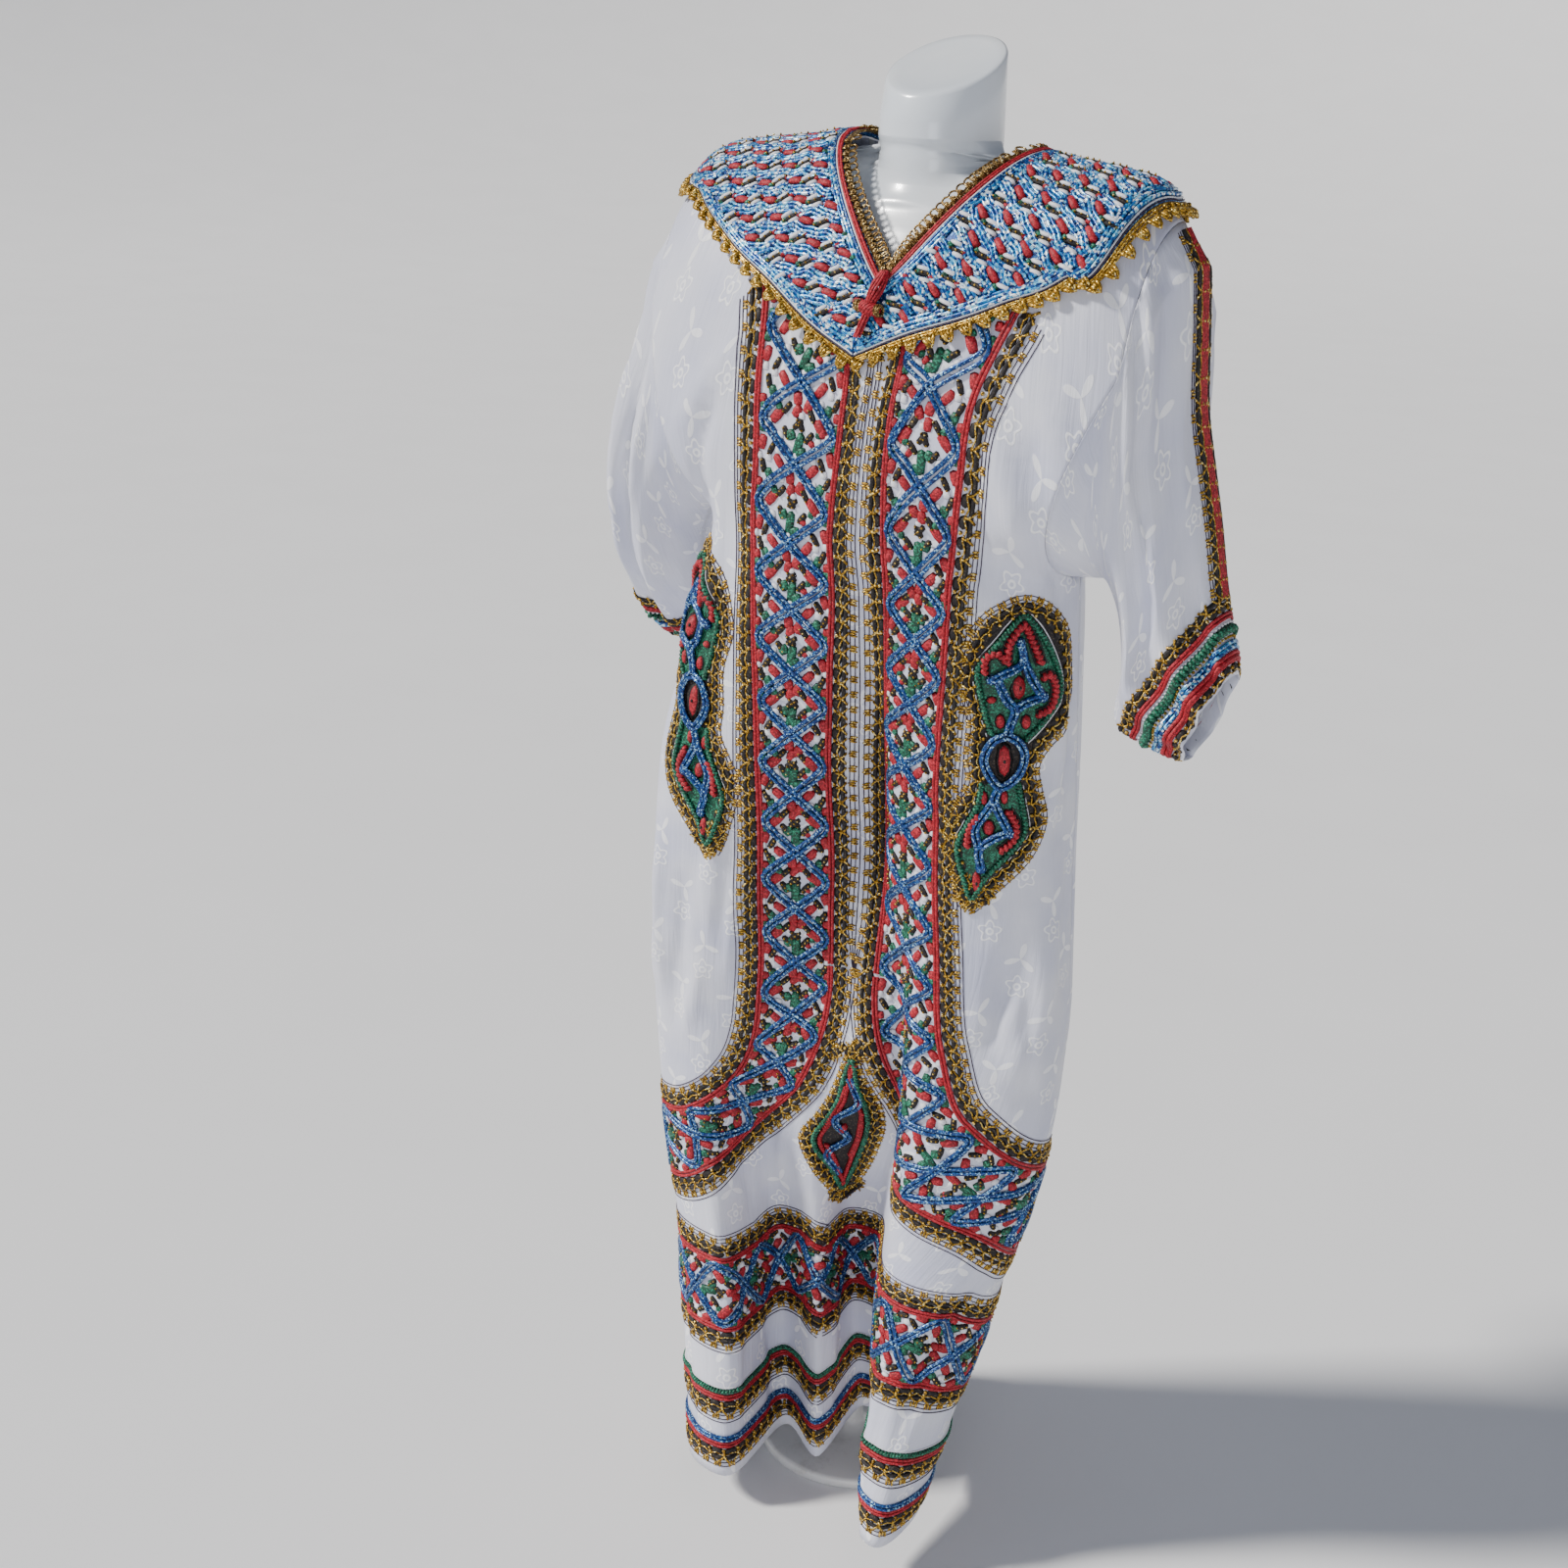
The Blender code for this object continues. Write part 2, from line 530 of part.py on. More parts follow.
def edge_braid(name, side):
    turns = collar_turns(side)
    turns = np.interp(np.arange(2 * len(turns) - 1) / 2, np.arange(len(turns)), turns)
    grids = []
    for lift in (COLLAR_LIFT, COLLAR_LIFT - BRAID_CLOTH):
        grid = np.array([[strip_point(turn, way, side, lift)
                          for way in (SEAM, BRAID_WIDTH if k % 2 else BRAID_TAPE)]
                         for k, turn in enumerate(turns)])
        grid[1:-1:2, 0] = (grid[:-2:2, 0] + grid[2::2, 0]) / 2     # the sewn edge follows the collar's
        grids.append(grid)
    sheet(name, *grids, side, "gold")


edge_braid("collar_braid_left", 1)
edge_braid("collar_braid_right", -1)


# Loop braid inside the neckline, in one length: a tape with a row of open loops on its free edge

LOOP_ROWS = (-SEAM, -0.0075, -0.0130, -0.0160)     # seam, edge of the tape, inside and outside of a loop
LOOP_CORD = 0.0035                                 # how thick the braid is


def neck_braid(name):
    """From the point of the V up the right side, round the back and down the left side."""
    grids = []
    for lift in (COLLAR_LIFT, COLLAR_LIFT - LOOP_CORD):
        halves = []
        for side in (-1, 1):
            half = np.array([[strip_point(turn, way, side, lift) for way in LOOP_ROWS]
                             for turn in collar_turns(side)])
            half[0, :, 0] += side * SEAM / 2
            halves.append(half)
        grids.append(np.concatenate([halves[0], halves[1][-2::-1]]))
    columns, rows = grids[0].shape[:2]
    half = rows * columns

    def filled(i, j):
        return 0 <= i < columns - 1 and 0 <= j < rows - 1 and not (j == 1 and i % 2 == 1)

    faces = []
    for i in range(columns - 1):
        for j in range(rows - 1):
            if not filled(i, j):
                continue
            a, b, c, d = i * rows + j, i * rows + j + 1, (i + 1) * rows + j + 1, (i + 1) * rows + j
            faces += [(a, b, c, d), (half + d, half + c, half + b, half + a)]
            around = (((i - 1, j), a, b), ((i, j + 1), b, c), ((i + 1, j), c, d), ((i, j - 1), d, a))
            for (m, n), p, q in around:
                if not filled(m, n):
                    faces.append((q, p, half + p, half + q))
    solid(name, np.concatenate([grid.reshape(-1, 3) for grid in grids]), faces, "gold")


neck_braid("neck_braid")


# Tie: a twisted cord that ends in a tassel head and a knot, sewn on at the point of the V

# way down, radius
TIE = [(0.000, 0.0020), (0.006, 0.0052), (0.016, 0.0068), (0.024, 0.0056), (0.029, 0.0030), (0.034, 0.0030),
       (0.039, 0.0060), (0.047, 0.0066), (0.053, 0.0034), (0.058, 0.0016)]
TIE_TOP, TIE_SIDES, TIE_LEAN, TIE_GAP = 1.330, 8, 0.25, 0.0009


def tie(name):
    points = []
    for way, radius in TIE:
        x, height = NECK_SHIFT + POINT_SHIFT - TIE_LEAN * way, TIE_TOP - way
        on_collar = shell(x, shell_angle(x, height))
        centre = on_collar - np.array([0.0, COLLAR_LIFT + radius + TIE_GAP, 0.0])
        points += [centre + radius * np.array([cos(turn), -sin(turn), 0.0])
                   for turn in np.arange(TIE_SIDES) * 2 * pi / TIE_SIDES]
    tube(name, points, TIE_SIDES, "red")


tie("tie_cord")


# Dress form: one smooth moulding from the cut neck to the waist, with no arms, on a turned stand

FORM_SIDES = 28
RIDGE = 0.145                          # half width of the ridge that the shoulders of the cloth rest on
RIDGE_TOP = shoulder_height(RIDGE) - CLOTH - 0.0008


def form(name):
    rows = FORM + [(RIDGE_TOP, RIDGE, 0.003, 0.003, 0.0568),
                   (RIDGE_TOP + 0.0025, 0.100, 0.010, 0.010, 0.0565),
                   (1.446, 0.066, 0.030, 0.030, 0.0562), (1.456, 0.0560, 0.056, 0.056, 0.0560),
                   (1.475, NECK_RADIUS, NECK_RADIUS, NECK_RADIUS, NECK_RADIUS)]
    turns = np.arange(FORM_SIDES) * 2 * pi / FORM_SIDES
    points = []
    for height, width, front, back, root in rows:
        for turn in turns:
            x = width * np.sign(cos(turn)) * abs(cos(turn)) ** 0.9
            deep = (front if sin(turn) < 0 else back) * max(0.0, 1 - (abs(x) / width) ** 2.2) ** (1 / 2.2)
            deep = max(deep, max(0.0, root ** 2 - x * x) ** 0.5)
            points.append((x + NECK_CENTRE, np.sign(sin(turn)) * deep, height))
    for turn in turns:
        y = NECK_RADIUS * sin(turn)
        points.append((NECK_RADIUS * cos(turn) + NECK_CENTRE, y, NECK_TOP + NECK_SLANT * y))
    tube(name, points, FORM_SIDES, "form")


form("dress_form")

# radius, height: base disc, post and the plate under the form
STAND = [(0.103, 0.000), (0.105, 0.002), (0.105, 0.009), (0.100, 0.012), (0.026, 0.015), (0.0125, 0.024),
         (0.0125, 0.962), (0.024, 0.973), (0.024, 0.980 - SEAM)]
STAND_SIDES = 24


def stand(name):
    turns = np.arange(STAND_SIDES) * 2 * pi / STAND_SIDES
    points = [(POST[0] + radius * cos(turn), POST[1] + radius * sin(turn), height)
              for radius, height in STAND for turn in turns]
    tube(name, points, STAND_SIDES, "stand")


stand("stand")
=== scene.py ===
"""A white damask kaftan with an embroidered cape collar, bands and hem, on a limbless dress form."""
import math

import bpy
import numpy as np
from mathutils import Matrix


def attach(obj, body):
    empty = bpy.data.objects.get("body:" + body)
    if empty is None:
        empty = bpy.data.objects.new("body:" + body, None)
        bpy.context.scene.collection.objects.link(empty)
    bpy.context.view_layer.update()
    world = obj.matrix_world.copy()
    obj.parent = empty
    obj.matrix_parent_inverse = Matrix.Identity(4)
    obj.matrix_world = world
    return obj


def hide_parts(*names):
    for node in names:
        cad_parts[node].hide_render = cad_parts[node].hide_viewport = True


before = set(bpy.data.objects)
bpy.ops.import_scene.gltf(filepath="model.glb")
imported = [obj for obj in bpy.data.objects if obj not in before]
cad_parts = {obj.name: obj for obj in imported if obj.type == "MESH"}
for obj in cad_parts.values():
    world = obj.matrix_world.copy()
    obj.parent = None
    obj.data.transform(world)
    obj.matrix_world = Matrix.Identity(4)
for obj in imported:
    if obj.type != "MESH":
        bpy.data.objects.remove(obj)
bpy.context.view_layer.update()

# Dress form
# The form is one hollow moulding of white plastic, from a slanted cut neck to the waist, without arms.
# The kaftan rests on the ridge of its shoulders, and the form stands on the stand's plate.

NECK_RADIUS, NECK_CENTRE = 0.0555, 0.003
NECK_TOP, NECK_SLANT = 1.5215, 0.50
RIM = 0.0035                         # rounding of the cut
# height, half width, depth in front, depth behind, depth of the neck's root
FORM = np.array([
    (0.9800, 0.122, 0.085, 0.080, 0.0000), (1.0200, 0.125, 0.088, 0.082, 0.0000),
    (1.1000, 0.140, 0.100, 0.090, 0.0000), (1.2000, 0.165, 0.120, 0.103, 0.0000),
    (1.2800, 0.176, 0.116, 0.100, 0.0000), (1.3400, 0.179, 0.100, 0.087, 0.0000),
    (1.3750, 0.178, 0.082, 0.072, 0.0000), (1.4000, 0.175, 0.066, 0.058, 0.0575),
    (1.4150, 0.170, 0.050, 0.043, 0.0572), (1.4270, 0.163, 0.031, 0.026, 0.0570),
    (1.4335, 0.154, 0.010, 0.010, 0.0568), (1.4375, 0.145, 0.003, 0.003, 0.0568),
    (1.4400, 0.100, 0.010, 0.010, 0.0565), (1.4460, 0.066, 0.030, 0.030, 0.0562),
    (1.4560, 0.056, 0.056, 0.056, 0.0560), (1.4750, NECK_RADIUS, NECK_RADIUS, NECK_RADIUS, NECK_RADIUS),
])


def add(tree, kind, inputs=None, **settings):
    """A node with its inputs set, or linked where the value is another node's output."""
    new = tree.nodes.new(kind)
    for name, value in settings.items():
        setattr(new, name, value)
    for name, value in (inputs or {}).items():
        if isinstance(value, bpy.types.NodeSocket):
            tree.links.new(value, new.inputs[name])
        else:
            new.inputs[name].default_value = value
    return new


def ramp(tree, mask, stops):
    """A colour ramp over a mask, from (place, colour) stops."""
    new = add(tree, "ShaderNodeValToRGB", {"Fac": mask})
    band = new.color_ramp
    while len(band.elements) < len(stops):
        band.elements.new(0.5)
    for element, (place, colour) in zip(band.elements, stops):
        element.position, element.color = place, (*colour, 1.0)
    return new.outputs["Color"]


def finish_of(name, **sockets):
    """A new material, with its shader and node tree; the constants go straight on the shader."""
    material = bpy.data.materials.new(name)
    material.use_nodes = True
    tree = material.node_tree
    shader = tree.nodes["Principled BSDF"]
    for socket, value in sockets.items():
        shader.inputs[socket.replace("_", " ")].default_value = value
    return material, tree, shader


def fitted(piece, slot, *nodes):
    """Fixes a finished piece to the model's one body, and hides the solids it stands for; its slot is not
    used.
    """
    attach(piece, "root")
    if nodes:
        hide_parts(*nodes)
    return piece


def object_of(name, data):
    """A new object in the scene."""
    new = bpy.data.objects.new(name, data)
    bpy.context.scene.collection.objects.link(new)
    return new


def piece_of(name, points, faces, material, slot, *nodes):
    mesh = bpy.data.meshes.new(name)
    mesh.from_pydata(np.asarray(points).tolist(), [], faces)
    mesh.update()
    mesh.shade_smooth()
    mesh.materials.append(material)
    return fitted(object_of(name, mesh), slot, *nodes)


def turned(rows, sides):
    """Faces of stacked rings with the same number of sides, closed at both ends."""
    faces = []
    for start in range(0, (rows - 1) * sides, sides):
        for k in range(sides):
            after = (k + 1) % sides
            faces.append((start + k, start + after, start + sides + after, start + sides + k))
    last = (rows - 1) * sides
    return faces + [tuple(range(sides))[::-1], tuple(range(last, last + sides))]


def moulding_finish():
    material, tree, shader = finish_of("white_moulding", Roughness=0.24, Coat_Weight=0.35,
                                       Coat_Roughness=0.08)
    place = add(tree, "ShaderNodeTexCoord").outputs["Object"]
    flow = add(tree, "ShaderNodeTexNoise", {"Vector": place, "Scale": 9.0, "Detail": 3.0})
    dust = add(tree, "ShaderNodeTexNoise", {"Vector": place, "Scale": 420.0, "Detail": 2.0})
    tint = ramp(tree, flow.outputs["Fac"], [(0.35, (0.70, 0.75, 0.80)), (0.65, (0.80, 0.83, 0.85))])
    tree.links.new(tint, shader.inputs["Base Color"])
    relief = add(tree, "ShaderNodeBump", {"Height": flow.outputs["Fac"], "Strength": 0.25, "Distance": 0.004})
    skin = add(tree, "ShaderNodeBump", {"Height": dust.outputs["Fac"], "Strength": 0.05, "Distance": 0.0004,
                                        "Normal": relief.outputs["Normal"]})
    tree.links.new(skin.outputs["Normal"], shader.inputs["Normal"])
    return material


def dress_form(sides=112):
    heights = np.unique(np.concatenate([FORM[:, 0], np.linspace(0.98, 1.475, 84)]))
    turns = np.arange(sides) * 2 * np.pi / sides
    sideways, ahead = np.cos(turns), np.sin(turns)
    rings = []
    for height in heights:
        width, front, back, root = (np.interp(height, FORM[:, 0], FORM[:, k]) for k in range(1, 5))
        x = width * np.sign(sideways) * abs(sideways) ** 0.9
        deep = np.where(ahead < 0, front, back) * np.maximum(0.0, 1 - (abs(x) / width) ** 2.2) ** (1 / 2.2)
        neck = np.sqrt(np.maximum(0.0, root**2 - x**2))
        deep = (deep**8 + neck**8) ** (1 / 8)
        rings.append(np.stack([x + NECK_CENTRE, np.sign(ahead) * deep, np.full(sides, height)], -1))
    for radius, down in ((NECK_RADIUS, RIM), (NECK_RADIUS - 0.0010, 0.0012), (NECK_RADIUS - RIM, 0.0),
                         (NECK_RADIUS * 0.80, 0.0008), (NECK_RADIUS * 0.35, 0.0012)):
        y = radius * ahead
        rings.append(np.stack([radius * sideways + NECK_CENTRE, y, NECK_TOP + NECK_SLANT * y - down], -1))
    return piece_of("form_moulding", np.concatenate(rings), turned(len(rings), sides), moulding_finish(),
                    "dress_form", "dress_form")


dress_form()

# Stand
# A turned steel base disc with a straight post and a small plate under the form, in white enamel.
# The disc lies flat on the floor.

POST = (-0.025, 0.045)
# radius, height
STAND = [(0.1025, 0.0), (0.1040, 0.0004), (0.1050, 0.0016), (0.1050, 0.0086), (0.1040, 0.0106),
         (0.1000, 0.0120), (0.0700, 0.0136), (0.0300, 0.0148), (0.0240, 0.0160), (0.0160, 0.0200),
         (0.0125, 0.0250), (0.0125, 0.4000), (0.0125, 0.7000), (0.0125, 0.9600), (0.0150, 0.9650),
         (0.0230, 0.9720), (0.0240, 0.9740), (0.0240, 0.9790)]


def enamel_finish():
    material, tree, shader = finish_of("white_enamel", Coat_Weight=0.5, Coat_Roughness=0.12)
    place = add(tree, "ShaderNodeTexCoord").outputs["Object"]
    orange_peel = add(tree, "ShaderNodeTexNoise", {"Vector": place, "Scale": 260.0, "Detail": 1.0})
    scuffs = add(tree, "ShaderNodeTexNoise", {"Vector": place, "Scale": 30.0, "Detail": 6.0,
                                              "Roughness": 0.7})
    tint = ramp(tree, scuffs.outputs["Fac"], [(0.30, (0.66, 0.65, 0.62)), (0.48, (0.82, 0.82, 0.80))])
    gloss = add(tree, "ShaderNodeMapRange", {"Value": scuffs.outputs["Fac"], "To Min": 0.5, "To Max": 0.28})
    relief = add(tree, "ShaderNodeBump", {"Height": orange_peel.outputs["Fac"], "Strength": 0.15,
                                          "Distance": 0.0003})
    tree.links.new(tint, shader.inputs["Base Color"])
    tree.links.new(gloss.outputs["Result"], shader.inputs["Roughness"])
    tree.links.new(relief.outputs["Normal"], shader.inputs["Normal"])
    return material


def stand(sides=72):
    turns = np.arange(sides) * 2 * np.pi / sides
    points = [(POST[0] + radius * math.cos(turn), POST[1] + radius * math.sin(turn), height)
              for radius, height in STAND for turn in turns]
    return piece_of("stand_disc_and_post", points, turned(len(STAND), sides), enamel_finish(), "stand",
                    "stand")


stand()

# Front and back of the kaftan
# Front and back are each one length of white satin damask from shoulder to hem, joined at the sides
# and shoulders. They hang in the folds of the table, with the smaller creases of the worn cloth.

HEM, KNEE, THIGH, WAIST, CHEST = 0.04, 0.30, 0.48, 0.80, 1.075
FOLD_HEIGHTS = (HEM, KNEE, THIGH, WAIST, CHEST)
CHEST_TOP = 1.20                     # height where the shoulder shell begins
SHOULDER_TIP, SHELL_TIP = 0.258, 0.31  # half width at the shoulder, and where the shell would end
FRONT_DEPTH, BACK_DEPTH = 0.138, 0.118
NECK_SIDE, NECK_POINT, NECK_BACK = 0.097, 1.333, 1.405
NECK_SHIFT, POINT_SHIFT = 0.012, 0.018  # the neckline, and its point more so, sit to the wearer's left
ARM_IN, ARM_BACK = 0.030, 0.050      # how far the armhole bows in and back
SEAM_LEFT, SEAM_RIGHT = 3, 13        # fold numbers of the side seams
CLOTH = 0.0007                       # thickness of the damask
SEAM_SHARE = 0.0006                  # room at each side seam, as a share of the cloth's width
CREASE_SCALE = 2.2                   # the creases of the worn cloth are deeper than drawn by this
CREASE_TOP = 1.26                    # height up to which they die away under the collar
CHEST_BLUR, CHEST_REACH = 0.020, 0.05  # how softly and how far the cloth is smoothed round the chest
# rise of the hem there, then the plan at the hem, knee, thigh, waist and chest, in millimetres
FOLDS = [
    (0, (-100, 145), (-30, 150), (-10, 145), (0, 140), (0, 122)),
    (12, (-20, 100), (45, 112), (65, 120), (80, 128), (75, 117)),
    (0, (50, 95), (100, 110), (132, 110), (140, 110), (140, 90)),
    (0, (100, 0), (158, 40), (203, 30), (198, 25), (190, 0)),
    (0, (141, -75), (181, -40), (213, -35), (196, -35), (180, -60)),
    (0, (139, -150), (128, -85), (132, -85), (135, -82), (120, -110)),
    (0, (114, -145), (82, -80), (92, -82), (95, -85), (90, -115)),
    (40, (60, -10), (12, 15), (55, -30), (46, -70), (60, -117)),
    (40, (15, 0), (-30, 18), (12, -50), (30, -52), (30, -123)),
    (5, (5, -70), (-35, -35), (-40, -60), (-5, -80), (0, -127)),
    (8, (-55, -45), (-95, -30), (-90, -70), (-60, -110), (-50, -130)),
    (0, (-55, -155), (-112, -110), (-152, -110), (-120, -132), (-105, -124)),
    (0, (-110, -150), (-180, -100), (-220, -92), (-208, -120), (-175, -90)),
    (0, (-160, -50), (-210, -20), (-240, -20), (-240, -30), (-205, 0)),
    (0, (-175, 60), (-170, 80), (-180, 80), (-170, 90), (-160, 80)),
    (10, (-140, 110), (-95, 100), (-90, 125), (-85, 128), (-80, 115)),
]
SHOULDER = np.array([(0.000, 1.4520), (0.093, 1.4505), (0.125, 1.4430), (0.160, 1.4380), (0.200, 1.4330),
                     (0.235, 1.4235), (SHOULDER_TIP, 1.4030), (0.285, 1.3900)])
PLANS = np.array([[row[k] for row in FOLDS] for k in range(1, 6)]) * 0.001
RISES = np.array([row[0] for row in FOLDS] + [FOLDS[0][0]]) * 0.001
# the fold number that lies at the centre front, at each height
CENTRE_FRONT = np.array([(0.04, 9.2), (0.30, 8.8), (0.48, 8.2), (0.80, 8.5), (1.08, 8.7)])
CENTRE_BACK = 16
# small creases, in millimetres: across and up where one starts and where it ends, half width, height
# of its ridge or depth of its groove
FRONT_CREASES = [
    (134, 1165, 142, 1060, 8, -2.2), (180, 1060, 176, 960, 10, -3), (222, 960, 236, 830, 10, 3),
    (246, 1040, 240, 800, 12, -3.6), (196, 740, 180, 590, 12, -3.4), (-128, 760, -140, 600, 9, 2.2),
    (150, 1215, 232, 1125, 11, -3.4), (180, 1225, 268, 1150, 10, 3), (150, 1180, 200, 1070, 13, 3.4),
    (205, 1150, 214, 1040, 10, -3), (232, 1130, 252, 1020, 9, 3.2), (268, 1100, 270, 950, 10, -3.6),
    (290, 1050, 286, 900, 9, 3), (158, 1105, 166, 1050, 7, -1.6), (262, 830, 262, 640, 12, -3.4),
    (232, 730, 222, 560, 15, 3.8), (175, 700, 188, 600, 10, -2.4), (285, 760, 300, 560, 11, 3.4),
    (205, 680, 240, 540, 8, -2.2), (315, 700, 330, 520, 12, -3.4), (-160, 1215, -240, 1135, 12, 3.6),
    (-175, 1180, -215, 1060, 11, -3.6), (-160, 1110, -172, 960, 12, 3.2), (-205, 1060, -200, 930, 9, 2.8),
    (-245, 1050, -262, 820, 12, -4), (-285, 980, -290, 720, 13, 4), (-165, 800, -160, 640, 11, 3),
    (-195, 720, -205, 520, 13, -4), (-235, 760, -232, 560, 10, 3.6), (-168, 620, -186, 520, 9, 2.4),
    (-275, 640, -268, 480, 12, -3.4), (-60, 440, -72, 330, 10, 2.6), (-112, 380, -106, 310, 8, -2.2),
    (-18, 580, -24, 470, 8, -2), (-160, 340, -150, 70, 10, 2.6), (-235, 300, -225, 60, 12, -3),
    (250, 260, 262, 60, 10, 2.6), (300, 360, 292, 100, 11, -2.8), (-85, 200, -75, 50, 9, -2.4),
    (20, 260, 26, 70, 9, 2.2),
]
BACK_CREASES = [
    (-180, 1240, -120, 1020, 14, 3.6), (-210, 1130, -180, 900, 12, -3.8), (190, 1220, 140, 1060, 13, -3.4),
    (230, 1120, 190, 860, 13, 3.8), (-70, 1140, -85, 800, 16, -3.2), (60, 1100, 50, 740, 14, 3.4),
    (-250, 850, -240, 560, 12, 3.4), (265, 800, 250, 520, 12, -3.6), (-150, 760, -165, 420, 15, 3.6),
    (120, 700, 140, 380, 14, -3.4), (-20, 700, -30, 350, 14, 3), (210, 480, 200, 120, 11, 3),
    (-215, 380, -200, 80, 11, -3), (20, 320, 30, 60, 12, -2.8), (-110, 300, -100, 50, 10, 2.6),
    (100, 240, 92, 60, 9, 2.4),
]


def eased(t, start, leaving, end, arriving):
    """The curve between two values that leaves and arrives at those slopes."""
    return ((2 * t**3 - 3 * t**2 + 1) * start + (t**3 - 2 * t**2 + t) * leaving
            + (3 * t**2 - 2 * t**3) * end + (t**3 - t**2) * arriving)


def along(height, heights, rows):
    """A smooth curve through rows, one for each height."""
    height = min(max(height, heights[0]), heights[-1])
    i = min(max(int(np.searchsorted(heights, height)) - 1, 0), len(heights) - 2)

    def slope(k):
        if k == 0:
            return (rows[1] - rows[0]) / (heights[1] - heights[0])
        if k == len(heights) - 1:
            return (rows[k] - rows[k - 1]) / (heights[k] - heights[k - 1])
        below, above = heights[k] - heights[k - 1], heights[k + 1] - heights[k]
        before, after = (rows[k] - rows[k - 1]) / below, (rows[k + 1] - rows[k]) / above
        return (before * above + after * below) / (below + above)

    step = heights[i + 1] - heights[i]
    return eased((height - heights[i]) / step, rows[i], step * slope(i), rows[i + 1], step * slope(i + 1))


def run_of(line):
    """The length run to each point of a line."""
    return np.concatenate([[0.0], np.cumsum(np.linalg.norm(np.diff(line, axis=0), axis=1))])


def ring(height, steps=16):
    """The closed plan of the cloth at a height, twice round: fold numbers, points, length run."""
    plan = along(height, FOLD_HEIGHTS, PLANS)
    after, later, before = np.roll(plan, -1, 0), np.roll(plan, -2, 0), np.roll(plan, 1, 0)
    gap = np.sqrt(np.linalg.norm(after - plan, axis=1))[:, None]
    back, ahead = np.roll(gap, 1, 0), np.roll(gap, -1, 0)
    start = gap * ((plan - before) / back - (after - before) / (back + gap) + (after - plan) / gap)
    end = gap * ((after - plan) / gap - (later - plan) / (gap + ahead) + (later - after) / ahead)
    t = (np.arange(steps) / steps)[None, :, None]
    points = eased(t, plan[:, None], start[:, None], after[:, None], end[:, None]).reshape(-1, 2)
    points = np.concatenate([points, points, points[:1]])
    return np.arange(len(points)) / steps, points, run_of(points)


def stretch(height, shares, first, last):
    """Points at even shares of the cloth's run from one fold number to another, at a height."""
    numbers, points, run = ring(height)
    start, end = np.interp([first, last], numbers, run)
    at = start + (end - start) * np.asarray(shares)
    fold = np.interp(at, run, numbers) % len(FOLDS)
    fade = max(0.0, (KNEE - height) / (KNEE - HEM)) ** 1.5
    rise = np.interp(fold, np.arange(len(FOLDS) + 1), RISES) * fade
    return np.stack([np.interp(at, run, points[:, 0]), np.interp(at, run, points[:, 1]), height + rise], -1)


SHOULDER_X = np.linspace(0, SHOULDER[-1, 0], 286)
SHOULDER_Z = np.array([along(x, SHOULDER[:, 0], SHOULDER[:, 1]) for x in SHOULDER_X])


def shoulder_height(x):
    return np.interp(np.abs(x), SHOULDER_X, SHOULDER_Z)


def depth(x, front):
    share = np.abs(x) / SHELL_TIP
    return (FRONT_DEPTH if front else BACK_DEPTH) * np.maximum(0.0, 1 - share**3) ** (1 / 3)


def armhole(turn, side, front):
    """The armhole seam: turn 0 at its foot, 1 at the shoulder; side +1 is the wearer's left."""
    foot = stretch(CHEST, [0.0], SEAM_LEFT if side > 0 else SEAM_RIGHT, 16)[0]
    top = shoulder_height(SHOULDER_TIP)
    height = (top + CHEST) / 2 - (top - CHEST) / 2 * math.cos(math.pi * turn)
    rise = min(1.0, max(0.0, (height - CHEST) / 0.20))
    x = abs(foot[0]) + (SHOULDER_TIP - abs(foot[0])) * rise**1.2
    if front:
        reach = top - CHEST_TOP if height > CHEST_TOP else CHEST_TOP - CHEST
        y = -depth(x, True) * max(0.0, 1 - ((height - CHEST_TOP) / reach) ** 2) ** 0.5
    else:
        bow = max(0.0, math.sin(math.pi * turn)) ** 0.8
        x, y = x - ARM_IN * bow, ARM_BACK * bow
    return np.array([side * x, y + foot[1] * (1 - turn), height])


def neckline(x, front):
    """Height of the neckline x from its middle."""
    share = np.minimum(1.0, np.abs(x) / NECK_SIDE)
    side = shoulder_height(NECK_SHIFT + NECK_SIDE * np.sign(x))
    low = NECK_POINT if front else NECK_BACK
    return low + (side - low) * share ** (1 if front else 2.2)


def neck_shift(x, front):
    beyond = np.maximum(0.0, np.abs(x) - NECK_SIDE) / (SHOULDER_TIP - NECK_SIDE)
    point = POINT_SHIFT * np.maximum(0.0, 1 - np.abs(x) / NECK_SIDE) if front else 0.0
    return NECK_SHIFT * (1 - beyond) + point


def chest_cut(turn, side, front):
    """The fold number where the chest ring lies as far forward or back as the armhole does."""
    seam = SEAM_LEFT if side > 0 else SEAM_RIGHT
    folds = seam + (2 if front == (side > 0) else -2) * np.linspace(0, 1, 33)
    numbers, points, _ = ring(CHEST)
    reach = np.maximum.accumulate(abs(np.interp(folds % len(FOLDS), numbers, points[:, 1])))
    return float(np.interp(abs(armhole(min(turn, 0.55), side, front)[1]), reach, folds))


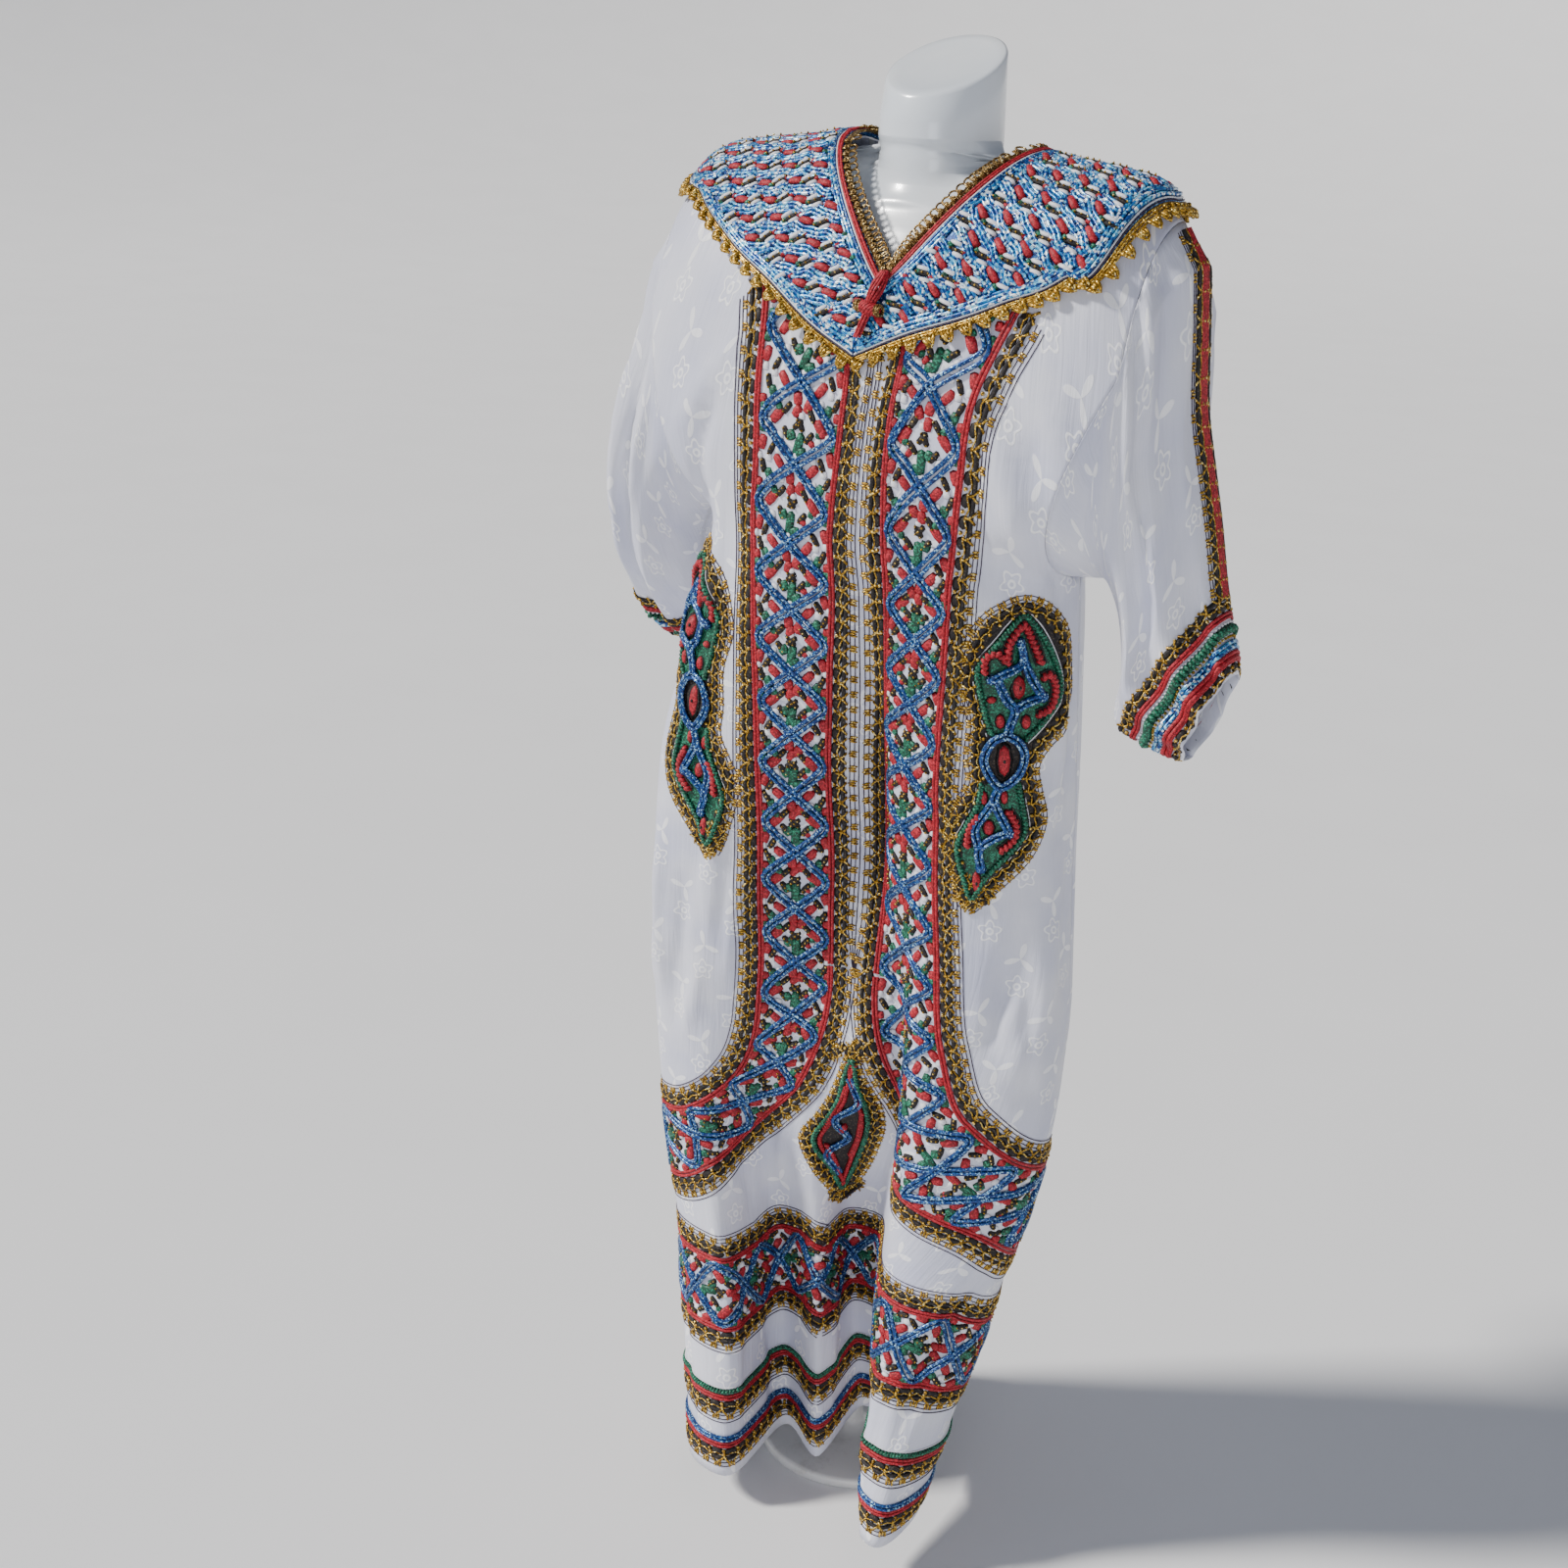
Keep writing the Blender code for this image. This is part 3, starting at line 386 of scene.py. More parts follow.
def body_row(shares, level, front):
    """A row of the body, from seam to seam or armhole to armhole: level 0 hem, 1 chest, 2 shoulder."""
    first, last = (SEAM_LEFT, SEAM_RIGHT) if front else (SEAM_RIGHT, SEAM_LEFT + len(FOLDS))
    if level <= 1:
        return stretch(HEM + (CHEST - HEM) * level, 1 - shares, first, last)
    rise, sign = level - 1, -1 if front else 1
    turn = 2 / math.pi * math.asin(math.sqrt(rise))
    left, right = chest_cut(turn, 1, front), chest_cut(turn, -1, front)
    first, last = (left, right) if front else (right, left + len(FOLDS))
    base = stretch(CHEST, 1 - shares, first, last)
    x_top = sign * np.interp(shares, (0, 1 / 3, 2 / 3, 1),
                             (SHOULDER_TIP, NECK_SIDE, -NECK_SIDE, -SHOULDER_TIP))
    x = x_top + neck_shift(x_top, front)
    z = np.where(abs(x_top) < NECK_SIDE, neckline(x_top, front), shoulder_height(x))
    feet = base[[0, -1]]
    ends = [armhole(turn, side, front) for side in (sign, -sign)]
    tips = [armhole(1.0, side, front) for side in (sign, -sign)]
    flat = (1 - rise) * base[:, [0, 2]] + rise * np.stack([x, z], -1)
    for weight, end, foot, tip in zip((1 - shares, shares), ends, feet, tips):
        flat = flat + weight[:, None] * (end[[0, 2]] - (1 - rise) * foot[[0, 2]] - rise * tip[[0, 2]])

    def surface(x, height):
        share = (height - CHEST_TOP) / (shoulder_height(x) - CHEST_TOP)
        return sign * depth(x, front) * np.sqrt(1 - np.clip(share, 0, 1) ** 2)

    blend = min(1.0, rise / 0.35)
    blend = blend * blend * (3 - 2 * blend)
    y = (1 - blend) * base[:, 1] + blend * surface(flat[:, 0], flat[:, 1])
    gap = [end[1] - (1 - blend) * foot[1] - blend * surface(end[0], end[2]) for end, foot in zip(ends, feet)]
    y = y + abs(2 * shares - 1) ** 8 * np.where(shares > 0.5, gap[1], gap[0])
    return np.stack([flat[:, 0], y, flat[:, 1]], -1)


def outward(grid, sign=1):
    """Unit normals of a grid of points."""
    cross = np.cross(np.gradient(grid, axis=1), np.gradient(grid, axis=0)) * sign
    return cross / np.maximum(1e-12, np.linalg.norm(cross, axis=2, keepdims=True))


class Cloth:
    """A piece of cloth that thread is sewn on. A place on it is (across, up) in metres of cloth."""

    STEP = 0.0025

    def __init__(self, grid, across, up, sign=1):
        self.low, self.high, self.up, self.sign = across.min(1), across.max(1), up, sign
        self.start = across.min()
        even = np.arange(self.start, across.max() + self.STEP, self.STEP)

        def spread(table):
            rows = []
            for row, line in zip(across, table):
                order = np.argsort(row)
                rows.append(np.stack([np.interp(even, row[order], line[order, k]) for k in range(3)], -1))
            return np.stack(rows)

        self.grid, self.normals = spread(grid), spread(outward(grid, sign))

    def at(self, places, lift=0.0):
        """Points and outward normals at places, raised off the cloth by lift."""
        i = np.clip(np.interp(places[:, 1], self.up, np.arange(len(self.up))), 0, len(self.up) - 1.001)
        j = np.clip((places[:, 0] - self.start) / self.STEP, 0, self.grid.shape[1] - 1.001)
        m, n = i.astype(int), j.astype(int)
        s, t = (i - m)[:, None], (j - n)[:, None]

        def blend(table):
            low = table[m, n] * (1 - t) + table[m, n + 1] * t
            return low * (1 - s) + (table[m + 1, n] * (1 - t) + table[m + 1, n + 1] * t) * s

        normals = blend(self.normals)
        normals = normals / np.maximum(1e-9, np.linalg.norm(normals, axis=1, keepdims=True))
        return blend(self.grid) + normals * np.reshape(lift, (-1, 1)), normals

    def holds(self, places, margin=0.002):
        """Whether each place is on the cloth, clear of its side seams and its ends."""
        low, high = (np.interp(places[:, 1], self.up, edge) for edge in (self.low, self.high))
        return ((places[:, 0] > low + margin) & (places[:, 0] < high - margin)
                & (places[:, 1] > self.up[0] + margin) & (places[:, 1] < self.up[-1] - margin))


def creased(grid, normals, across, up, creases, fade):
    """The grid with its small creases, each one a ridge or groove that dies away at both ends."""
    rise = np.zeros(grid.shape[:2])
    for a, b, c, d, wide, deep in np.array(creases) * 0.001:
        line = np.array([c - a, d - b])
        away = np.stack([across - a, up[:, None] - b + 0 * across], -1)
        share = np.clip(away @ line / (line @ line), 0, 1)
        off = np.linalg.norm(away - share[..., None] * line, axis=2)
        bend = 0.006 * np.sin(9 * share + 40 * a)
        ridge = np.exp(-(((off + bend * share) / wide) ** 2)) * np.sin(np.pi * share) ** 0.6
        rise += CREASE_SCALE * deep * ridge
    return grid + normals * (rise * fade)[..., None]


def wall(name, outer, normals, across, up, material, slot, *nodes, closed=False, thickness=CLOTH):
    """A closed thin wall of cloth: its outer grid, and the same grid moved in by its thickness."""
    rows, columns = outer.shape[:2]
    half = rows * columns
    points = np.concatenate([outer.reshape(-1, 3), (outer - normals * thickness).reshape(-1, 3)])
    number = np.arange(half).reshape(rows, columns)
    right = np.roll(number, -1, 1) if closed else number[:, 1:]
    left = number if closed else number[:, :-1]
    quads = np.stack([left[:-1], right[:-1], right[1:], left[1:]], -1).reshape(-1, 4)
    faces = [quads, quads[:, ::-1] + half]
    for a, b in ((left[0], right[0]), (right[-1], left[-1])):
        faces.append(np.stack([b, a, a + half, b + half], -1))
    if not closed:
        for a, b in ((number[:-1, 0], number[1:, 0]), (number[1:, -1], number[:-1, -1])):
            faces.append(np.stack([a, b, b + half, a + half], -1))
    piece = piece_of(name, points, np.concatenate(faces).tolist(), material, slot, *nodes)
    layer = piece.data.uv_layers.new(name="cloth_metres")
    flat = np.stack([across, np.broadcast_to(np.reshape(up, (-1, 1)), across.shape)], -1).reshape(-1, 2)
    corner = np.empty(len(piece.data.loops), int)
    piece.data.loops.foreach_get("vertex_index", corner)
    layer.data.foreach_set("uv", flat[corner % half].ravel())
    return piece


def group_of(name, kind, inputs, outputs):
    """A new node group with those sockets, and the sockets of its input and output nodes."""
    group = bpy.data.node_groups.new(name, kind)
    for way, sockets in (("INPUT", inputs), ("OUTPUT", outputs)):
        for socket, values in sockets.items():
            group.interface.new_socket(socket, in_out=way, socket_type="NodeSocket" + values)
    return group, group.nodes.new("NodeGroupInput").outputs, group.nodes.new("NodeGroupOutput").inputs


REPEAT = (0.066, 0.058)              # width and height of one repeat of the weave


def flower_group():
    """The woven figures: five-petal flowers on a brick repeat, with a spray of leaves between them."""
    group, given, made = group_of("damask_figures", "ShaderNodeTree", {"Cloth": "Vector"},
                                  {"Figure": "Float"})

    def maths(operation, *values):
        new = add(group, "ShaderNodeMath", operation=operation)
        for socket, value in zip(new.inputs, values):
            if isinstance(value, bpy.types.NodeSocket):
                group.links.new(value, socket)
            else:
                socket.default_value = value
        return new.outputs[0]

    def repeat(wide, tall, shift):
        """Place in a brick cell, as radius and angle turned by a random amount for each cell."""
        cloth = add(group, "ShaderNodeSeparateXYZ", {"Vector": given["Cloth"]})
        v = maths("ADD", maths("DIVIDE", cloth.outputs["Y"], tall), shift)
        row = maths("FLOOR", v)
        u = maths("ADD", maths("DIVIDE", cloth.outputs["X"], wide), maths("MULTIPLY", row, 0.5))
        u = maths("ADD", u, shift)
        cell = add(group, "ShaderNodeCombineXYZ", {"X": maths("FLOOR", u), "Y": row, "Z": shift})
        spin = add(group, "ShaderNodeTexWhiteNoise", {"Vector": cell.outputs["Vector"]}).outputs["Value"]
        x = maths("MULTIPLY", maths("SUBTRACT", maths("FRACT", u), 0.5), wide)
        y = maths("MULTIPLY", maths("SUBTRACT", maths("FRACT", v), 0.5), tall)
        radius = maths("SQRT", maths("ADD", maths("MULTIPLY", x, x), maths("MULTIPLY", y, y)))
        angle = maths("ADD", maths("ARCTAN2", y, x), maths("MULTIPLY", spin, 2 * math.pi))
        return radius, angle

    def line(distance, half):
        """1 on a line of that half width, fading to 0 beside it."""
        return add(group, "ShaderNodeMapRange", {"Value": maths("ABSOLUTE", distance), "From Min": half,
                                                 "From Max": half * 1.7, "To Min": 1.0,
                                                 "To Max": 0.0}).outputs["Result"]

    radius, angle = repeat(*REPEAT, 0.0)
    petals = maths("ADD", 0.0092, maths("MULTIPLY", 0.0022, maths("COSINE", maths("MULTIPLY", angle, 5.0))))
    flower = maths("MAXIMUM", line(maths("SUBTRACT", radius, petals), 0.0008),
                   line(maths("SUBTRACT", radius, 0.0030), 0.0008))
    radius, angle = repeat(*REPEAT, 0.5)
    blades = maths("POWER", maths("ABSOLUTE", maths("COSINE", maths("MULTIPLY", angle, 1.5))), 5.0)
    leaf = maths("SUBTRACT", radius, maths("MULTIPLY", 0.0165, blades))
    leaf = add(group, "ShaderNodeMapRange", {"Value": leaf, "From Min": 0.0, "From Max": 0.0012,
                                             "To Min": 0.8, "To Max": 0.0}).outputs["Result"]
    group.links.new(maths("MAXIMUM", flower, leaf), made["Figure"])
    return group


def damask_finish():
    material, tree, shader = finish_of("white_damask", Specular_IOR_Level=0.6)
    cloth = add(tree, "ShaderNodeUVMap", uv_map="cloth_metres").outputs["UV"]
    figure = add(tree, "ShaderNodeGroup", node_tree=flower_group())
    tree.links.new(cloth, figure.inputs["Cloth"])
    figure = figure.outputs["Figure"]
    soft = add(tree, "ShaderNodeTexNoise", {"Vector": cloth, "Scale": 11.0, "Detail": 4.0})
    upright = add(tree, "ShaderNodeMapping", {"Vector": cloth, "Scale": (1.0, 0.07, 1.0)})
    crinkle = add(tree, "ShaderNodeTexNoise", {"Vector": upright.outputs["Vector"], "Scale": 210.0,
                                               "Detail": 3.0, "Distortion": 0.6})
    weave = add(tree, "ShaderNodeTexWave", {"Vector": cloth, "Scale": 620.0, "Distortion": 1.5},
                wave_type="BANDS", bands_direction="DIAGONAL")
    # The ground is painted a lilac-blue shade colour, darker and lighter in soft patches, and the figures are
    # painted near white over it as a painted sheen.
    tone = ramp(tree, soft.outputs["Fac"], [(0.30, (0.55, 0.57, 0.72)), (0.62, (0.70, 0.71, 0.79))])
    woven = add(tree, "ShaderNodeMix", {"Factor": figure}, data_type="RGBA")
    tree.links.new(tone, woven.inputs["A"])
    woven.inputs["B"].default_value = (0.96, 0.96, 0.98, 1.0)
    tree.links.new(woven.outputs["Result"], shader.inputs["Base Color"])
    gloss = add(tree, "ShaderNodeMapRange", {"Value": figure, "To Min": 0.44, "To Max": 0.24})
    tree.links.new(gloss.outputs["Result"], shader.inputs["Roughness"])
    threads = add(tree, "ShaderNodeBump", {"Height": weave.outputs["Fac"], "Strength": 0.10,
                                           "Distance": 0.0002})
    ripple = add(tree, "ShaderNodeBump", {"Height": crinkle.outputs["Fac"], "Strength": 0.55,
                                          "Distance": 0.0016, "Normal": threads.outputs["Normal"]})
    raised = add(tree, "ShaderNodeBump", {"Height": figure, "Strength": 0.55, "Distance": 0.0006,
                                          "Normal": ripple.outputs["Normal"]})
    tree.links.new(raised.outputs["Normal"], shader.inputs["Normal"])
    return material


WHITE_DAMASK = damask_finish()


def body_cloth(name, front, skirt_rows, yoke_rows, columns, creases):
    """Makes the front or the back, and returns it with the cloth that its embroidery lies on."""
    shares = np.linspace(SEAM_SHARE, 1 - SEAM_SHARE, columns)
    yoke = 1 + np.sin(np.pi * np.arange(1, yoke_rows + 1) / (2 * yoke_rows)) ** 2
    levels = np.concatenate([np.linspace(0, 1, skirt_rows), yoke])
    grid = np.array([body_row(shares, level, front) for level in levels])
    sides = np.clip(16 * np.minimum(shares, 1 - shares), 0, 1)[None, :]
    high = grid[:, :, 2].mean(axis=1)
    near = np.exp(-0.5 * ((high[:, None] - high) / CHEST_BLUR) ** 2) * np.gradient(high)
    soft = np.einsum("ij,jkc->ikc", near / near.sum(axis=1, keepdims=True), grid)
    soft[..., 2] = grid[..., 2]
    share = sides * np.clip(1.6 - abs(high - CHEST) / CHEST_REACH, 0, 1)[:, None]
    grid += (soft - grid) * share[..., None]
    middle = []
    for level in levels:
        height = HEM + (CHEST - HEM) * min(1.0, level)
        fold = np.interp(height, CENTRE_FRONT[:, 0], CENTRE_FRONT[:, 1]) if front else CENTRE_BACK
        numbers, _, run = ring(height)
        first, last = (SEAM_LEFT, SEAM_RIGHT) if front else (SEAM_RIGHT, SEAM_LEFT + len(FOLDS))
        start, end, here = np.interp([first, last, fold], numbers, run)
        centre = 1 - (here - start) / (end - start)
        middle.append(centre + (0.5 - centre) * max(0.0, level - 1))
    run = np.array([run_of(row) for row in grid])
    across = run - np.array([np.interp(m, shares, r) for m, r in zip(middle, run)])[:, None]
    up = np.array([HEM + (CHEST - HEM) * level if level <= 1 else np.interp(0.0, a, row[:, 2])
                   for level, a, row in zip(levels, across, grid)])
    fade = sides * (np.clip(levels / 0.03, 0, 1) * np.clip((CREASE_TOP - up) / 0.06, 0.15, 1))[:, None]
    grid = creased(grid, outward(grid), across, up, creases, fade)
    slot = "front_panel" if front else "back_panel"
    piece = wall(name, grid, outward(grid), across, up, WHITE_DAMASK, slot, slot)
    return piece, Cloth(grid, across, up)


front_piece, FRONT = body_cloth("front_damask", front=True, skirt_rows=104, yoke_rows=40, columns=168,
                                creases=FRONT_CREASES)
back_piece, BACK = body_cloth("back_damask", front=False, skirt_rows=72, yoke_rows=26, columns=112,
                              creases=BACK_CREASES)

# Embroidery threads
# Couched cords and thick satin stitches in metallic blue, gold, red, green, black and white thread,
# sewn through the damask. Every thread stands proud of the cloth.


def glint_group():
    """Light that breaks up over twisted metal thread: a random tone for each speck, and its relief."""
    group, given, made = group_of("thread_glint", "ShaderNodeTree", {"Place": "Vector"},
                                  {"Speck": "Float", "Relief": "Float"})
    specks = add(group, "ShaderNodeTexVoronoi", {"Vector": given["Place"], "Scale": 1.0})
    tone = add(group, "ShaderNodeSeparateColor", {"Color": specks.outputs["Color"]})
    group.links.new(tone.outputs["Red"], made["Speck"])
    group.links.new(tone.outputs["Green"], made["Relief"])
    return group


GLINT = glint_group()


# Each thread is painted in random specks, from painted shade through its own colour up to painted glints; the
# lightest stops are painted highlights.
def thread_finish(name, shade_to_glint_tones, metallic, roughness, relief=0.5, scale=780.0):
    material, tree, shader = finish_of(name, Metallic=metallic, Roughness=roughness)
    place = add(tree, "ShaderNodeTexCoord").outputs["Object"]
    sized = add(tree, "ShaderNodeMapping", {"Vector": place, "Scale": (scale, scale, scale)})
    glint = add(tree, "ShaderNodeGroup", node_tree=GLINT)
    tree.links.new(sized.outputs["Vector"], glint.inputs["Place"])
    tree.links.new(ramp(tree, glint.outputs["Speck"], shade_to_glint_tones), shader.inputs["Base Color"])
    bump = add(tree, "ShaderNodeBump", {"Height": glint.outputs["Relief"], "Strength": relief,
                                        "Distance": 0.0006})
    tree.links.new(bump.outputs["Normal"], shader.inputs["Normal"])
    return material


THREADS = {
    "blue": thread_finish("metal_blue", [(0.0, (0.003, 0.012, 0.08)), (0.50, (0.006, 0.045, 0.21)),
                                         (0.82, (0.02, 0.14, 0.40)), (0.95, (0.45, 0.75, 0.92))],
                          0.4, 0.34, 0.7),
    "sky": thread_finish("metal_sky_blue", [(0.0, (0.004, 0.012, 0.09)), (0.30, (0.008, 0.07, 0.30)),
                                            (0.56, (0.02, 0.24, 0.55)), (0.78, (0.20, 0.62, 0.80)),
                                            (0.90, (0.92, 0.97, 1.0))], 0.3, 0.3, 0.8, scale=430.0),
    "gold": thread_finish("metal_gold", [(0.0, (0.10, 0.045, 0.004)), (0.40, (0.36, 0.19, 0.015)),
                                         (0.80, (0.66, 0.40, 0.05)), (0.95, (1.0, 0.82, 0.30))],
                          0.7, 0.34, 0.7),
    "old_gold": thread_finish("metal_old_gold", [(0.0, (0.04, 0.02, 0.006)), (0.45, (0.16, 0.085, 0.018)),
                                                 (0.85, (0.36, 0.22, 0.06)), (0.96, (0.9, 0.72, 0.35))],
                              0.65, 0.36, 0.7),
    "red": thread_finish("red_wool", [(0.0, (0.16, 0.0, 0.004)), (0.55, (0.36, 0.001, 0.010)),
                                      (0.97, (0.60, 0.03, 0.05))], 0.0, 0.62, 0.4),
    "green": thread_finish("green_wool", [(0.0, (0.001, 0.020, 0.012)), (0.6, (0.002, 0.085, 0.040)),
                                          (0.96, (0.03, 0.30, 0.17))], 0.1, 0.5, 0.5),
    "black": thread_finish("black_wool", [(0.0, (0.003, 0.002, 0.002)), (0.85, (0.010, 0.006, 0.007)),
                                          (0.98, (0.08, 0.06, 0.04))], 0.0, 0.7, 0.4),
    "white": thread_finish("white_silk", [(0.0, (0.66, 0.66, 0.72)), (0.8, (0.86, 0.86, 0.88))],
                           0.0, 0.42, 0.25),
    "dark": thread_finish("dark_silk", [(0.0, (0.018, 0.008, 0.026)), (0.9, (0.05, 0.025, 0.055))],
                          0.0, 0.5, 0.2),
}


def cord_tree():
    """Lays a round cord along every line of a mesh, as thick as the line's own value says."""
    tree, given, made = group_of("laid_cord", "GeometryNodeTree", {
        "Lines": "Geometry", "Sides": "Int", "Material": "Material"}, {"Cord": "Geometry"})
    line = add(tree, "GeometryNodeMeshToCurve", {"Mesh": given["Lines"]})
    section = add(tree, "GeometryNodeCurvePrimitiveCircle", {"Resolution": given["Sides"], "Radius": 1.0})
    thick = add(tree, "GeometryNodeInputNamedAttribute", {"Name": "thick"}, data_type="FLOAT")
    cord = add(tree, "GeometryNodeCurveToMesh", {
        "Curve": line.outputs["Curve"], "Profile Curve": section.outputs["Curve"],
        "Scale": thick.outputs["Attribute"], "Fill Caps": True})
    smooth = add(tree, "GeometryNodeSetShadeSmooth", {"Geometry": cord.outputs["Mesh"]})
    real = add(tree, "GeometryNodeRealizeInstances", {"Geometry": smooth.outputs["Geometry"]})
    dyed = add(tree, "GeometryNodeSetMaterial", {"Geometry": real.outputs["Geometry"],
                                                 "Material": given["Material"]})
    tree.links.new(dyed.outputs["Geometry"], made["Cord"])
    return tree


def stitch_tree():
    """Sews one stitch on every point, turned along the point's way and standing up from the cloth."""
    tree, given, made = group_of("sewn_on", "GeometryNodeTree", {
        "Points": "Geometry", "Stitch": "Object", "Material": "Material"}, {"Stitches": "Geometry"})
    up, way, size = (add(tree, "GeometryNodeInputNamedAttribute", {"Name": name}, data_type="FLOAT_VECTOR")
                     for name in ("up", "way", "size"))
    turn = add(tree, "FunctionNodeAxesToRotation", {
        "Primary Axis": up.outputs["Attribute"], "Secondary Axis": way.outputs["Attribute"]},
        primary_axis="Z", secondary_axis="X")
    stitch = add(tree, "GeometryNodeObjectInfo", {"Object": given["Stitch"]})
    sewn = add(tree, "GeometryNodeInstanceOnPoints", {
        "Points": given["Points"], "Instance": stitch.outputs["Geometry"],
        "Rotation": turn.outputs["Rotation"], "Scale": size.outputs["Attribute"]})
    real = add(tree, "GeometryNodeRealizeInstances", {"Geometry": sewn.outputs["Instances"]})
    dyed = add(tree, "GeometryNodeSetMaterial", {"Geometry": real.outputs["Geometry"],
                                                 "Material": given["Material"]})
    tree.links.new(dyed.outputs["Geometry"], made["Stitches"])
    return tree


CORD_TREE, STITCH_TREE = cord_tree(), stitch_tree()


def tubes(lines, radius, sides=5, closed=False):
    """Points and faces of thin round bodies along lines, for the shapes of single stitches."""
    points, faces = [], []
    for line in lines:
        line = np.asarray(line, float)
        ahead = np.gradient(line, axis=0)
        if closed:
            ahead = np.roll(line, -1, 0) - np.roll(line, 1, 0)
        ahead /= np.linalg.norm(ahead, axis=1, keepdims=True)
        side = np.cross(ahead, (0.0, 0.0, 1.0))
        side /= np.maximum(1e-6, np.linalg.norm(side, axis=1, keepdims=True))
        over = np.cross(side, ahead)
        start, rows = sum(len(p) for p in points), len(line)
        turns = np.arange(sides) * 2 * np.pi / sides
        circle = side[:, None] * np.cos(turns)[None, :, None] + over[:, None] * np.sin(turns)[None, :, None]
        points.append((line[:, None] + circle * radius).reshape(-1, 3))
        for i in range(rows if closed else rows - 1):
            for k in range(sides):
                a, b = start + i * sides, start + (i + 1) % rows * sides
                faces.append((a + k, a + (k + 1) % sides, b + (k + 1) % sides, b + k))
        if not closed:
            faces += [tuple(start + k for k in range(sides))[::-1],
                      tuple(start + (rows - 1) * sides + k for k in range(sides))]
    return np.concatenate(points), faces


def dome(columns, rows, square):
    """A low pillow, 1 long, wide and high, flat underneath; more square is squarer in plan."""
    turns = np.arange(columns) * 2 * np.pi / columns
    edge = (abs(np.cos(turns)) ** square + abs(np.sin(turns)) ** square) ** (-1 / square) / 2
    points, faces = [], []
    for k in range(rows):
        angle = np.pi / 2 * k / rows
        points += [(r * math.cos(angle) * math.cos(t), r * math.cos(angle) * math.sin(t), math.sin(angle))
                   for r, t in zip(edge, turns)]
    points.append((0.0, 0.0, 1.0))
    for k in range(rows - 1):
        for i in range(columns):
            low, high, after = k * columns, (k + 1) * columns, (i + 1) % columns
            faces.append((low + i, low + after, high + after, high + i))
    last = (rows - 1) * columns
    faces += [(last + i, last + (i + 1) % columns, rows * columns) for i in range(columns)]
    return np.array(points), faces + [tuple(range(columns))[::-1]]


def stitch(name, points, faces):
    """The shape of a single stitch, kept as an object until everything is sewn."""
    mesh = bpy.data.meshes.new(name)
    mesh.from_pydata(np.asarray(points).tolist(), [], faces)
    mesh.shade_smooth()
    return object_of(name, mesh)


def patch_of_bars():
    """Three short gold stitches side by side."""
    points, faces = [], []
    for k in range(3):
        bar, bar_faces = dome(6, 2, 2.6)
        faces += [tuple(n + len(bar) * k for n in face) for face in bar_faces]
        points.append(bar * (0.34, 1.0, 1.0) + ((k - 1) * 0.33, 0.06 * (-1) ** k, 0.0))
    return np.concatenate(points), faces


ring_turns = np.arange(14)[:, None] * 2 * np.pi / 14
STITCHES = {
    "bar": stitch("bar_stitch", *dome(8, 2, 3.6)),
    "scallop": stitch("scallop_stitch", *dome(8, 2, 2.0)),
    "bead": stitch("bead_stitch", *dome(5, 2, 2.0)),
    "patch": stitch("patch_stitch", *patch_of_bars()),
    "fork": stitch("fork_stitch", *tubes([
        [(0.0, -0.5, 0.10), (0.0, -0.05, 0.22)], [(0.0, -0.05, 0.22), (-0.42, 0.5, 0.10)],
        [(0.0, -0.05, 0.22), (0.42, 0.5, 0.10)]], 0.11, 4)),
    "ring": stitch("ring_stitch", *tubes([np.concatenate(
        [np.cos(ring_turns), np.sin(ring_turns), 0 * ring_turns], 1) * 0.5], 0.115, 5, closed=True)),
    "picot": stitch("picot_stitch", *tubes([
        [(-0.46, -0.50, 0.1), (-0.36, -0.10, 0.28), (-0.22, 0.26, 0.30), (0.0, 0.48, 0.16),
         (0.22, 0.26, 0.30), (0.36, -0.10, 0.28), (0.46, -0.50, 0.1)],
        [(-0.16, -0.42, 0.16), (-0.08, -0.05, 0.42), (0.02, 0.22, 0.34)],
        [(0.18, -0.42, 0.16), (0.10, -0.08, 0.40), (0.0, 0.16, 0.46)]], 0.15, 6)),
}


